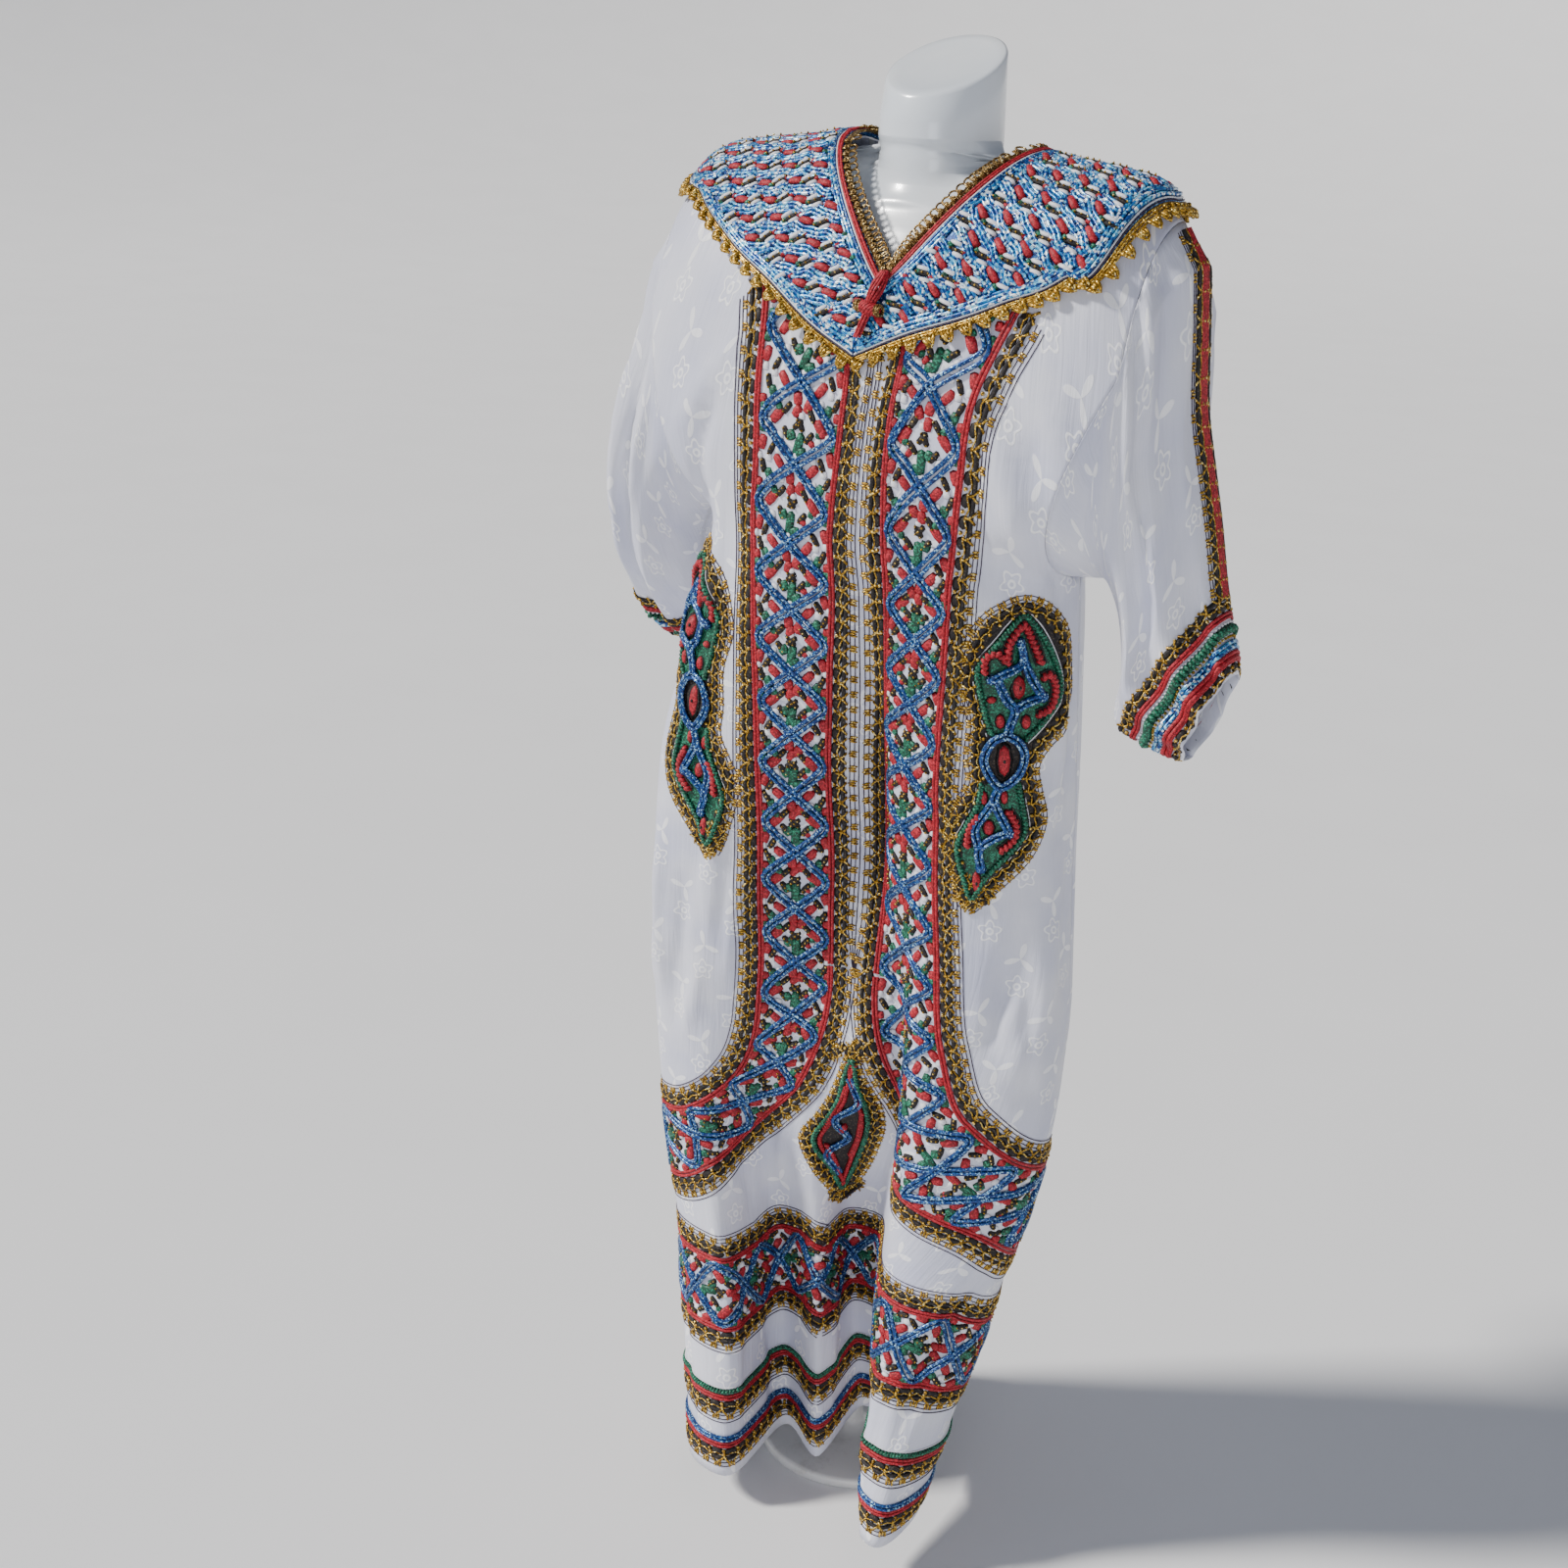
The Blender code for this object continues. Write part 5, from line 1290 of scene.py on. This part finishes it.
# top fold, under fold, depth in front and behind, in millimetres, and degrees swung back, from the
# armhole to the cuff
LEFT_SLEEVE = [
    ((281, 0, 1366), (217, 0, 1078), 96, 52, 0),
    ((287, 0, 1310), (228, 0, 1079), 90, 46, 0),
    ((294, 0, 1245), (238, 0, 1070), 82, 40, 0),
    ((308, 0, 1190), (248, 0, 1040), 72, 36, 0),
    ((321, 0, 1142), (252, 0, 992), 62, 32, 0),
    ((333, 0, 1092), (248, 0, 945), 52, 30, 0),
    ((345, 0, 1052), (281, 0, 931), 48, 28, 0),
    ((356, 0, 1012), (321, 0, 923), 44, 26, 0),
]
RIGHT_SLEEVE = [
    ((-277, 0, 1370), (-220, 0, 1078), 93, 56, 0),
    ((-291, 0, 1305), (-236, 0, 1075), 92, 54, 0),
    ((-317, 0, 1235), (-250, 4, 1062), 92, 52, 0),
    ((-340, 0, 1165), (-262, 10, 1035), 89, 50, 5),
    ((-358, 2, 1090), (-268, 20, 995), 80, 46, 14),
    ((-363, 16, 1035), (-270, 34, 960), 66, 42, 24),
    ((-360, 40, 987), (-272, 60, 934), 56, 38, 34),
    ((-350, 68, 950), (-274, 88, 912), 48, 34, 42),
]
# degrees round from the top fold, half width in degrees, depth
SLEEVE_FOLDS = [(48, 20, 0.010), (96, 18, 0.012), (140, 18, 0.008), (215, 22, 0.009), (290, 24, 0.008)]
SEAM = 0.0003                        # room between two pieces
# creases as on the front, with across measured from the top fold and up from the cuff
LEFT_CREASES = [
    (50, 400, 70, 200, 11, -3.2), (85, 370, 100, 230, 10, 3.4), (120, 360, 95, 160, 11, -3.4),
    (30, 330, 45, 150, 9, 2.6), (150, 330, 120, 200, 10, 3), (100, 200, 115, 90, 9, -2.6),
    (-60, 380, -50, 180, 11, 3.2), (-110, 340, -90, 140, 11, -3.2),
]
RIGHT_CREASES = [
    (60, 400, 55, 120, 12, -4.4), (100, 390, 92, 150, 12, 4.6), (135, 360, 118, 120, 11, -4),
    (28, 360, 30, 140, 10, 3.6), (165, 300, 140, 160, 10, 3.4), (80, 240, 74, 70, 9, -3),
    (-55, 380, -48, 150, 12, 3.6), (-105, 340, -88, 130, 12, -3.6),
]


def sleeve_ring(table, place, side, degrees):
    """Points round the sleeve at a place between 0, the armhole, and the last row, the cuff."""
    if place < 1:
        seam = np.array([armhole(1 - d / 180, side, True) if d <= 180 else armhole(d / 180 - 1, side, False)
                         for d in degrees % 360]) + (side * SEAM, 0.0, 0.0)
        return seam if place <= 0 else seam + (sleeve_ring(table, 1, side, degrees) - seam) * place
    row = along(place - 1, np.arange(len(table)), table)
    top, under, front, back, swing = row[:3], row[3:6], row[6], row[7], math.radians(row[8])
    growth = min(1.0, (place - 1) / 5)
    turn = np.radians(degrees % 360)
    dent = growth * sum(deep * 1.1 * np.maximum(0.0, 1 - ((degrees % 360 - at) / (1.25 * wide)) ** 2) ** 2
                        for at, wide, deep in SLEEVE_FOLDS)
    bow = np.where(turn < np.pi, front, back) * abs(np.sin(turn)) ** 0.85
    bow = np.where(bow > dent, bow - dent, bow)
    bow = np.where(turn < np.pi, -bow, bow)
    return ((top + under) / 2 + (top - under) / 2 * np.cos(turn)[:, None]
            + bow[:, None] * np.array([0.0, math.cos(swing), math.sin(swing)]))


def sleeve(name, node, rows, side, creases):
    table = np.array([[*top, *under, *rest] for top, under, *rest in rows]) * ([0.001] * 8 + [1])
    degrees = np.linspace(-180, 180, 105)
    places = np.concatenate([np.linspace(0, 1, 5)[:-1], np.linspace(1, len(rows), 60)])[::-1]
    grid = np.array([sleeve_ring(table, place, side, degrees) for place in places])
    run = np.array([run_of(row) for row in grid])
    across = run - run[:, [len(degrees) // 2]]
    steps = np.linalg.norm(np.diff(grid, axis=0), axis=2).mean(1)
    up = np.concatenate([[0.0], np.cumsum(steps)])
    sign = -side
    fade = np.clip(np.minimum(up, up[-1] - up) / 0.03, 0, 1)[:, None] * np.clip(
        (180 - abs(degrees)) / 25, 0, 1)[None, :]
    grid = creased(grid, outward(grid, sign), across, up, creases, fade)
    grid[:, -1] = grid[:, 0]
    normals = outward(grid, sign)
    normals[:, 0] = normals[:, -1] = (normals[:, 0] + normals[:, -1]) / 2
    rim, lean, flat = grid[:, :-1], normals[:, :-1], across[:, :-1]
    if side > 0:
        rim, lean, flat = rim[:, ::-1], lean[:, ::-1], flat[:, ::-1]
    piece = wall(name, rim, lean, flat, up, WHITE_DAMASK, node, node, closed=True)
    return piece, Cloth(grid, across, up, sign)


# distances from the cuff's edge: of the foot of the border on the fold, of both borders round the cuff,
# and of the middle of each row between them
CUFF_TOP, UPPER_BORDER, LOWER_BORDER = 0.0700, 0.0510, 0.0145
CUFF_CORDS = [("sky", 0.0265), ("red", 0.0175)]
CUFF_ROPE = 0.0395
CUFF_BEADS = [("gold", 0.0332), ("white", 0.0218), ("white", 0.0450)]
CUFF_PITCH = 0.0140


def sleeve_borders(work):
    """The border down the top fold, and the cords round the cuff."""
    length = work.cloth.up[-1]
    fold = np.stack([np.zeros(100), np.linspace(CUFF_TOP - 0.004, length - 0.006, 100)], -1)
    for out in (1, -1):
        border(work, aside(fold, -out * 0.0030), out, fine=(0.0192, 0.0228), pitch=CUFF_PITCH)

    def row(height):
        low, high = (np.interp(height, work.cloth.up, edge) for edge in (work.cloth.low, work.cloth.high))
        across = np.linspace(low + 0.003, high - 0.003, int((high - low) / 0.004))
        return np.stack([across, np.full(len(across), height)], -1)

    border(work, row(UPPER_BORDER), 1, fine=(), pitch=CUFF_PITCH)
    rope(work, row(CUFF_ROPE), "green", 0.0080)
    for thread, height in CUFF_CORDS:
        for way in (-0.0023, 0.0023):
            work.cord(thread, 0.0023, row(height + way))
    for thread, height in CUFF_BEADS:
        places, ways = spaced(row(height), 0.0046)
        work.sew("bead", thread, places, ways, (0.0036, 0.0034, 0.0024))
    border(work, row(LOWER_BORDER), -1, fine=(), pitch=CUFF_PITCH)
    work.cord("gold", 0.0022, row(0.0014))


left_sleeve, LEFT_ARM = sleeve("sleeve_left_damask", "sleeve_left", LEFT_SLEEVE, 1, LEFT_CREASES)
right_sleeve, RIGHT_ARM = sleeve("sleeve_right_damask", "sleeve_right", RIGHT_SLEEVE, -1, RIGHT_CREASES)
for word, piece, arm in (("left", left_sleeve, LEFT_ARM), ("right", right_sleeve, RIGHT_ARM)):
    arm_work = Needlework(arm)
    sleeve_borders(arm_work)
    threads = arm_work.make(f"sleeve_{word}_needlework", f"sleeve_{word}")

# Cape collar
# Two stiff halves of doubled cloth lie on the shoulders, meeting at the centre front and back. They
# are covered with rows of glittering blue chain and red bars, and edged in blue, white and black.

COLLAR_REACH_LEFT, COLLAR_REACH_RIGHT = 0.246, 0.272
COLLAR_MIDDLE = 0.012                # its point sits to the wearer's left
COLLAR_BACK = math.radians(66)       # shell angle of its edge at the centre back
COLLAR_LIFT, NECK_LIFT = 0.0065, 0.0014  # outer face above the body's cloth, inner face at the neck
COLLAR_CLOTH, EDGE_BEND = 0.0025, 1.9
# share of the way out to the shoulder, shell angle of the front edge in degrees, left and right
COLLAR_FRONT = np.array([
    (0.00, 74.9, 74.9), (0.20, 69.8, 69.0), (0.40, 64.9, 60.1), (0.60, 58.2, 50.3), (0.80, 49.9, 36.5),
    (0.94, 35.8, 20.0), (1.00, 0.0, 0.0),
])


def shell(x, angle, front=True):
    """A point of the shoulders: angle 0 on the shoulder line, a right angle at the chest."""
    return np.stack([x + 0 * angle, (-1 if front else 1) * depth(x, front) * np.sin(angle),
                     CHEST_TOP + (shoulder_height(x) - CHEST_TOP) * np.cos(angle)], -1)


def collar_lines(turn, side):
    """Neck edge and outer edge, x and shell angle, at a turn: 0 centre front, a half turn centre back."""
    front = turn < math.pi / 2
    x = NECK_SIDE * side * (turn * 2 / math.pi if front else math.sin(turn))
    x_neck = x + neck_shift(x, front)
    out = min(1.0, math.sin(turn)) ** (2 / EDGE_BEND)
    reach = COLLAR_REACH_LEFT if side > 0 else -COLLAR_REACH_RIGHT
    if front:
        level = math.radians(along(out, COLLAR_FRONT[:, 0], COLLAR_FRONT[:, 1 if side > 0 else 2]))
    else:
        level = COLLAR_BACK * max(0.0, 1 - out**EDGE_BEND) ** (1 / EDGE_BEND)
    height = neckline(x, front)
    share = (height - CHEST_TOP) / (shoulder_height(x_neck) - CHEST_TOP)
    return (np.array([x_neck, math.acos(min(1.0, max(0.0, share)))]),
            np.array([COLLAR_MIDDLE + (reach - COLLAR_MIDDLE) * out, level]))


def collar_point(turn, share, side, lift=COLLAR_LIFT):
    """A point on the collar; share 0 at the neck, 1 at the edge, and past either in proportion."""
    turn = min(max(turn, 0.0), math.pi)
    neck, edge = collar_lines(turn, side)
    x, angle = neck + (edge - neck) * share
    front = turn < math.pi / 2
    step = 1e-3
    at, right, left, low, high = shell(x + step * np.array([0, 1, -1, 0, 0]),
                                       angle + step * np.array([0, 0, 0, 1, -1]), front)
    up = np.cross(low - high, right - left) * (1 if front else -1)
    return at + up / np.linalg.norm(up) * lift


def collar_turns(side, steps):
    """Turns that space the points along the neck edge and the outer edge as evenly as both allow."""
    fine = np.linspace(0, math.pi, 181)
    runs = [run_of(np.array([collar_point(turn, share, side) for turn in fine])) for share in (0.0, 1.0)]
    return sum(np.interp(np.linspace(0, run[-1], steps + 1), run, fine) for run in runs) / 2


def collar_edge(turns, side, way, lift=COLLAR_LIFT):
    """Points a way outside the collar's edge for a positive way, or from its neckline for a negative one."""
    points = []
    for turn in turns:
        neck, edge = (collar_point(turn, share, side) for share in (0.0, 1.0))
        share = (1 if way > 0 else 0) + way / (np.linalg.norm(edge - neck) * 1.06)
        points.append(collar_point(turn, share, side, lift))
    return np.array(points)


def collar_half(name, node, side):
    turns, shares = collar_turns(side, 110), np.linspace(0, 1, 19)
    outer = np.array([[collar_point(turn, share, side) for share in shares] for turn in turns])
    lifts = np.interp(shares, (0, 1 / 6), (NECK_LIFT, COLLAR_LIFT - COLLAR_CLOTH))
    inner = np.array([[collar_point(turn, share, side, lift) for share, lift in zip(shares, lifts)]
                      for turn in turns])
    for grid in (outer, inner):
        grid[[0, -1], :, 0] += side * SEAM / 2
    across = np.array([run_of(row) for row in outer])
    up = run_of(outer[:, len(shares) // 2])
    if side < 0:
        outer, inner, across = outer[:, ::-1], inner[:, ::-1], across[:, ::-1]
    return wall(name, outer, outer - inner, across, up, THREADS["blue"], node, node, thickness=1.0)


def shoulder_cloth():
    """The collar's surface as cloth: across is x, up is the way over the shoulder line from the front."""
    xs, half = np.linspace(-0.29, 0.27, 225), 80
    angles = np.concatenate([-np.linspace(math.pi / 2, 0, half), np.linspace(0, math.pi / 2, half)[1:]])
    columns, ways = [], []
    up = np.arange(-0.27, 0.25, 0.0025)
    for x in xs:
        line = np.array([shell(x, abs(angle), angle < 0 or angle == 0) for angle in angles])
        run = run_of(line)
        run -= run[half - 1]
        ways.append(run)
        columns.append(np.stack([np.interp(up, run, line[:, k]) for k in range(3)], -1))
    grid = np.stack(columns, 1)
    cloth = Cloth(grid, np.broadcast_to(xs, grid.shape[:2]), up)
    cloth.grid = cloth.grid + cloth.normals * COLLAR_LIFT
    return cloth, xs, angles, np.array(ways)


SHOULDERS, SHELL_X, SHELL_ANGLES, SHELL_RUNS = shoulder_cloth()
NECK_BORDER, EDGE_BORDER = 0.017, 0.0135


def on_shoulders(x, angle):
    """(across, up) on the shoulder cloth of a shell point; the angle is negative in front."""
    column = np.clip(np.searchsorted(SHELL_X, x), 0, len(SHELL_X) - 1)
    return np.array([x, np.interp(angle, SHELL_ANGLES, SHELL_RUNS[column])])


def field_outline(side):
    """The closed outline of the embroidered field of a collar half, inside its borders."""
    neck_line, edge_line = [], []
    for turn in np.linspace(0.0, math.pi, 90):
        neck, edge = collar_lines(turn, side)
        sign = -1 if turn < math.pi / 2 else 1
        width = np.linalg.norm(collar_point(turn, 0.0, side) - collar_point(turn, 1.0, side))
        for share, line in ((NECK_BORDER / width, neck_line), (1 - EDGE_BORDER / width, edge_line)):
            x, angle = neck + (edge - neck) * share
            line.append(on_shoulders(x, sign * angle))
    return np.array(neck_line + edge_line[::-1])


def inside(places, outline):
    """Whether each place is inside a closed outline."""
    after = np.roll(outline, -1, 0)
    x, y = places[:, 0][:, None], places[:, 1][:, None]
    crosses = (outline[:, 1] > y) != (after[:, 1] > y)
    wide, tall = (after - outline).T
    at = outline[:, 0] + (y - outline[:, 1]) * wide / (tall + 1e-12)
    return (crosses & (x < at)).sum(1) % 2 == 1


ROW_PITCH, BAR_PITCH, CHAIN_PITCH = 0.0186, 0.036, 0.0038
FIELD_ROWS, FIELD_REACH = 28, 0.45   # rows each way from the middle, and how far each one is laid out
# thread, along from the red bar's middle, across from the row's middle, degrees, length, width (mm)
ROW_STITCHES = [
    ("red", 0, 0, -3, 20, 8.5), ("white", 14.5, 3, 36, 17, 5.0), ("black", 18.5, 0, 38, 19, 5.0),
    ("white", 22, -3, 36, 14, 5.0), ("green", 11.5, -3, 20, 7, 5.5), ("red", 25, 4, 30, 8, 4.5),
]
ROW_LEAN = {1: -40.0, -1: -7.0}      # how the rows slope on the wearer's left and right half, in degrees


def collar_field(work, side):
    """Rows of three blue chains, and between them rows of red bars with white, green and black."""
    outline = field_outline(side)
    lean = math.radians(ROW_LEAN[side])
    ahead, over = np.array([math.cos(lean), math.sin(lean)]), np.array([-math.sin(lean), math.cos(lean)])
    rng = np.random.default_rng(11 + side)
    length = np.arange(-FIELD_REACH, FIELD_REACH, 0.0036)
    for k in range(-FIELD_ROWS, FIELD_ROWS + 1):
        middle = length[:, None] * ahead + k * ROW_PITCH * over
        wave = 0.0014 * np.sin(2 * np.pi * length / BAR_PITCH + np.pi * k)
        wave = wave + 0.0010 * np.sin(2 * np.pi * length / 0.021 + 2.1 * k)
        for way in (-CHAIN_PITCH, 0.0, CHAIN_PITCH):
            row = middle + (wave + way)[:, None] * over
            work.cord("sky", 0.0021, row, lift=0.0006 if way == 0 else 0.0, keep=inside(row, outline))
        at = np.arange(-FIELD_REACH, FIELD_REACH, BAR_PITCH) + (k % 2) * BAR_PITCH / 2
        for thread, down, across, degrees, long, wide in ROW_STITCHES:
            spots = at + down * 0.001 + rng.uniform(-0.0014, 0.0014, len(at))
            places = spots[:, None] * ahead + ((k + 0.5) * ROW_PITCH + across * 0.001) * over
            places = places + rng.uniform(-0.0008, 0.0008, places.shape)
            ways = np.tile(turned_by(ahead[None, :], degrees), (len(places), 1))
            kept = inside(places, outline)
            high = 0.0040 if thread == "red" else 0.0045
            work.sew("bar", thread, places, ways, (long * 0.001, wide * 0.001, high), keep=kept)
            if thread == "black":
                knots_on(work, places, ways, 0.33 * long * 0.001, lift=0.0036, keep=kept)


# ways in from the outer edge and from the neck: thread, way, radius of the cord
EDGE_CORDS = [("dark", 0.0010, 0.0008), ("white", 0.0028, 0.0010), ("sky", 0.0056, 0.0021),
              ("sky", 0.0096, 0.0021), ("sky", 0.0132, 0.0019)]
NECK_CORDS = [("red", 0.0020, 0.0015), ("red", 0.0048, 0.0015), ("white", 0.0072, 0.0009),
              ("blue", 0.0098, 0.0016), ("sky", 0.0130, 0.0019), ("sky", 0.0164, 0.0017)]


def collar_borders(work, side):
    turns = collar_turns(side, 170)
    neck = np.array([collar_point(turn, 0.0, side) for turn in turns])
    edge = np.array([collar_point(turn, 1.0, side) for turn in turns])
    width = np.linalg.norm(edge - neck, axis=1)
    for cords, from_neck in ((EDGE_CORDS, False), (NECK_CORDS, True)):
        for thread, way, thick in cords:
            points = np.array([
                collar_point(turn, way / w if from_neck else 1 - way / w, side, COLLAR_LIFT + thick * 0.7)
                for turn, w in zip(turns, width)])
            points[[0, -1], 0] += side * thick
            work.loose(thread, thick, points)
    middle = NECK_BORDER + 0.002
    for turn_end in (0, -1):
        turn = turns[turn_end]
        shares = np.linspace(middle / width[turn_end], 1 - EDGE_BORDER / width[turn_end], 40)
        points = np.array([collar_point(turn, share, side, COLLAR_LIFT + 0.001) for share in shares])
        points[:, 0] += side * 0.0022
        work.loose("sky", 0.0018, points)


for word, side in (("left", 1), ("right", -1)):
    half_piece = collar_half(f"collar_{word}_ground", f"collar_{word}", side)
    collar_work = Needlework(SHOULDERS)
    collar_field(collar_work, side)
    collar_borders(collar_work, side)
    threads = collar_work.make(f"collar_{word}_needlework", f"collar_{word}")

# Gold braids of the collar
# A gold braid with a row of points is sewn round the outer edge of each half, and one with a row of
# open loops, in old gold, runs round the neckline in one length.

POINT_STEPS = 44                     # points on each half


def surface_at(turns, side, way, lift):
    """Points, normals and headings of a line along a collar edge."""
    points = collar_edge(turns, side, way, lift)
    up = collar_edge(turns, side, way, lift + 0.001) - points
    out = collar_edge(turns, side, way + (0.001 if way > 0 else -0.001), lift) - points
    return points, up / np.linalg.norm(up, axis=1, keepdims=True), out


for word, side in (("left", 1), ("right", -1)):
    braid = Needlework(SHOULDERS)
    turns = collar_turns(side, 2 * POINT_STEPS)
    fine_turns = collar_turns(side, 190)
    for way, thick in ((0.0014, 0.0013), (0.0038, 0.0014), (0.0060, 0.0011)):
        braid.loose("gold", thick, collar_edge(fine_turns, side, way, COLLAR_LIFT - 0.0004))
    points, up, out = surface_at(turns[1::2], side, 0.0104, COLLAR_LIFT - 0.0008)
    braid.fix("picot", "gold", points, up, np.cross(out, up), (0.0122, 0.0112, 0.0092))
    points, up, out = surface_at(turns[::2], side, 0.0040, COLLAR_LIFT + 0.0006)
    braid.fix("bead", "gold", points, up, out, (0.0052, 0.0040, 0.0028))
    braid.make(f"collar_braid_{word}", f"collar_braid_{word}", f"collar_braid_{word}")

neck_work = Needlework(SHOULDERS)
for side in (1, -1):
    turns, fine_turns = collar_turns(side, POINT_STEPS), collar_turns(side, 150)
    for way, thick in ((-0.0016, 0.0014), (-0.0040, 0.0015), (-0.0064, 0.0013)):
        neck_work.loose("old_gold", thick, collar_edge(fine_turns, side, way, COLLAR_LIFT - 0.0016))
    middles = (turns[:-1] + turns[1:]) / 2
    points, up, out = surface_at(middles, side, -0.0115, COLLAR_LIFT - 0.0014)
    neck_work.fix("ring", "old_gold", points, up, out, (0.0096, 0.0088, 0.0088))
    points, up, out = surface_at(turns, side, -0.0052, COLLAR_LIFT + 0.0004)
    neck_work.fix("picot", "old_gold", points, up, np.cross(out, up), (0.0062, 0.0070, 0.0060))
neck_work.make("neck_loop_braid", "neck_braid", "neck_braid")

# Tie at the point of the V
# A red cord is knotted across the point of the neckline and sewn to the collar there, with gold thread
# wound on both ends of the knot and a short twisted tassel head above it.

TIE_TOP, TIE_LEAN, TIE_LENGTH = 1.330, 0.25, 0.044
KNOT_DOWN = 0.018                    # from the tie's top to its knot


def tie_axis(way, out=0.0086):
    """The tie's middle line, a way down from its top."""
    x, height = NECK_SHIFT + POINT_SHIFT - TIE_LEAN * way, TIE_TOP - way
    share = (height - CHEST_TOP) / (shoulder_height(x) - CHEST_TOP)
    return shell(np.array(x), np.array(math.acos(share))) - np.array([0.0, COLLAR_LIFT + out, 0.0])


tie_work = Needlework(SHOULDERS)
rng = np.random.default_rng(7)
for strand in range(11):
    turn = strand * 2 * math.pi / 11
    ways = np.linspace(-0.015, 0.014, 12)
    swell = 0.0022 + 0.0040 * np.sin(np.pi * np.clip((ways + 0.016) / 0.032, 0, 1)) ** 0.8
    lean = turn + 26 * ways + rng.uniform(-0.1, 0.1)
    tie_work.loose("red", 0.0012, [tie_axis(way) + (r * math.cos(a), -r * math.sin(a), 0.0)
                                   for way, r, a in zip(ways, swell, lean)])
across = np.array([0.94, 0.0, -0.10])
for strand in range(9):
    turn = strand * 2 * math.pi / 9
    reach = np.linspace(-0.0115, 0.0115, 18)
    bulge = 0.0028 + 0.0030 * np.cos(np.pi * reach / 0.026) ** 2
    lean = turn + 210 * reach
    tie_work.loose("red", 0.0016, [tie_axis(KNOT_DOWN) + across * s + (0.0, -r * math.cos(a), r * math.sin(a))
                                   for s, r, a in zip(reach, bulge, lean)])
for end in (-1, 1):
    for k, r in enumerate((0.0042, 0.0050, 0.0044)):
        turns = np.linspace(0, 2 * math.pi, 19)
        centre = tie_axis(KNOT_DOWN) + across * end * (0.0090 + 0.0024 * k)
        tie_work.loose("old_gold", 0.0013, [centre + (0.0, -r * math.cos(a), r * math.sin(a)) for a in turns])
ways = np.linspace(KNOT_DOWN + 0.004, TIE_LENGTH, 8)
for strand in range(5):
    turn = strand * 2 * math.pi / 5
    tie_work.loose("red", 0.0013, [tie_axis(way) + (0.0026 * math.cos(turn + 30 * way),
                                                    -0.0026 * math.sin(turn + 30 * way), 0.0)
                                   for way in ways])
tie_work.make("tie", "tie_cord", "tie_cord")

# the single stitches are in every row of needlework by now, so their patterns are put away
for shape in STITCHES.values():
    bpy.data.objects.remove(shape, do_unlink=True)

# Floor, light and camera
# A pale studio floor that curves up far off, a soft light high on the left, a weak fill, and the
# photo's viewpoint.

CAMERA_AT = (1.1181, -1.7894, 1.5437)
AZIMUTH, PITCH_DOWN, ROLL = (math.radians(v) for v in (35.039, 19.1, 3.0))
FLOOR_FLAT, FLOOR_CURVE = 12.0, 12.0  # radius of the flat floor, and of the curve up round it


def floor():
    material, tree, shader = finish_of("pale_floor", Roughness=0.85)
    place = add(tree, "ShaderNodeTexCoord").outputs["Object"]
    grain = add(tree, "ShaderNodeTexNoise", {"Vector": place, "Scale": 3.0, "Detail": 3.0})
    tree.links.new(ramp(tree, grain.outputs["Fac"], [(0.3, (0.90, 0.90, 0.90)), (0.7, (0.92, 0.92, 0.92))]),
                   shader.inputs["Base Color"])
    turns, rises = np.linspace(0, 2 * math.pi, 97)[:-1], np.linspace(0, math.pi / 4, 12)
    points = [(0.0, 0.0, 0.0)]
    for rise in rises:
        reach = FLOOR_FLAT + FLOOR_CURVE * math.sin(rise)
        height = FLOOR_CURVE * (1 - math.cos(rise))
        points += [(reach * math.cos(turn), reach * math.sin(turn), height) for turn in turns]
    sides = len(turns)
    faces = [(0, 1 + k, 1 + (k + 1) % sides) for k in range(sides)]
    for low in range(1, 1 + sides * (len(rises) - 1), sides):
        high = low + sides
        faces += [(low + k, high + k, high + (k + 1) % sides, low + (k + 1) % sides) for k in range(sides)]
    mesh = bpy.data.meshes.new("floor")
    mesh.from_pydata(points, [], faces)
    mesh.shade_smooth()
    mesh.materials.append(material)
    object_of("floor", mesh)


def soft_light(name, kind, place, target, size, strength, colour):
    light = bpy.data.lights.new(name, kind)
    light.energy, light.color = strength, colour
    setattr(light, "angle" if kind == "SUN" else "size", size)
    lamp = object_of(name, light)
    lamp.location = place
    away = np.array(place) - np.array(target)
    drop = math.acos(away[2] / np.linalg.norm(away))
    lamp.rotation_euler = (0.0, drop, math.atan2(away[1], away[0]))


def camera():
    a, p, r = AZIMUTH, PITCH_DOWN, ROLL
    right = np.array([math.cos(a), math.sin(a), 0.0])
    look = np.array([-math.sin(a) * math.cos(p), math.cos(a) * math.cos(p), -math.sin(p)])
    up = np.cross(right, look)
    axes = (right * math.cos(r) + up * math.sin(r), -right * math.sin(r) + up * math.cos(r), -look)
    lens = bpy.data.cameras.new("photo_view")
    lens.lens, lens.sensor_width, lens.clip_end = 50.0, 36.0, 200.0
    eye = object_of("photo_view", lens)
    rows = [[*(axis[k] for axis in axes), CAMERA_AT[k]] for k in range(3)]
    eye.matrix_world = Matrix(rows + [[0, 0, 0, 1]])
    bpy.context.scene.camera = eye


def surroundings(colour, strength):
    world = bpy.data.worlds.new("studio")
    world.use_nodes = True
    world.node_tree.nodes["Background"].inputs["Color"].default_value = (*colour, 1.0)
    world.node_tree.nodes["Background"].inputs["Strength"].default_value = strength
    bpy.context.scene.world = world


floor()
surroundings((0.78, 0.84, 1.0), 0.26)
soft_light("key", "SUN", (-2.2, -1.8, 3.1), (0.0, 0.0, 0.9), math.radians(8), 4.6, (1.0, 0.97, 0.93))
soft_light("fill", "AREA", (1.2, -3.0, 1.2), (0.0, 0.0, 0.8), 1.0, 16.0, (0.86, 0.90, 1.0))
camera()
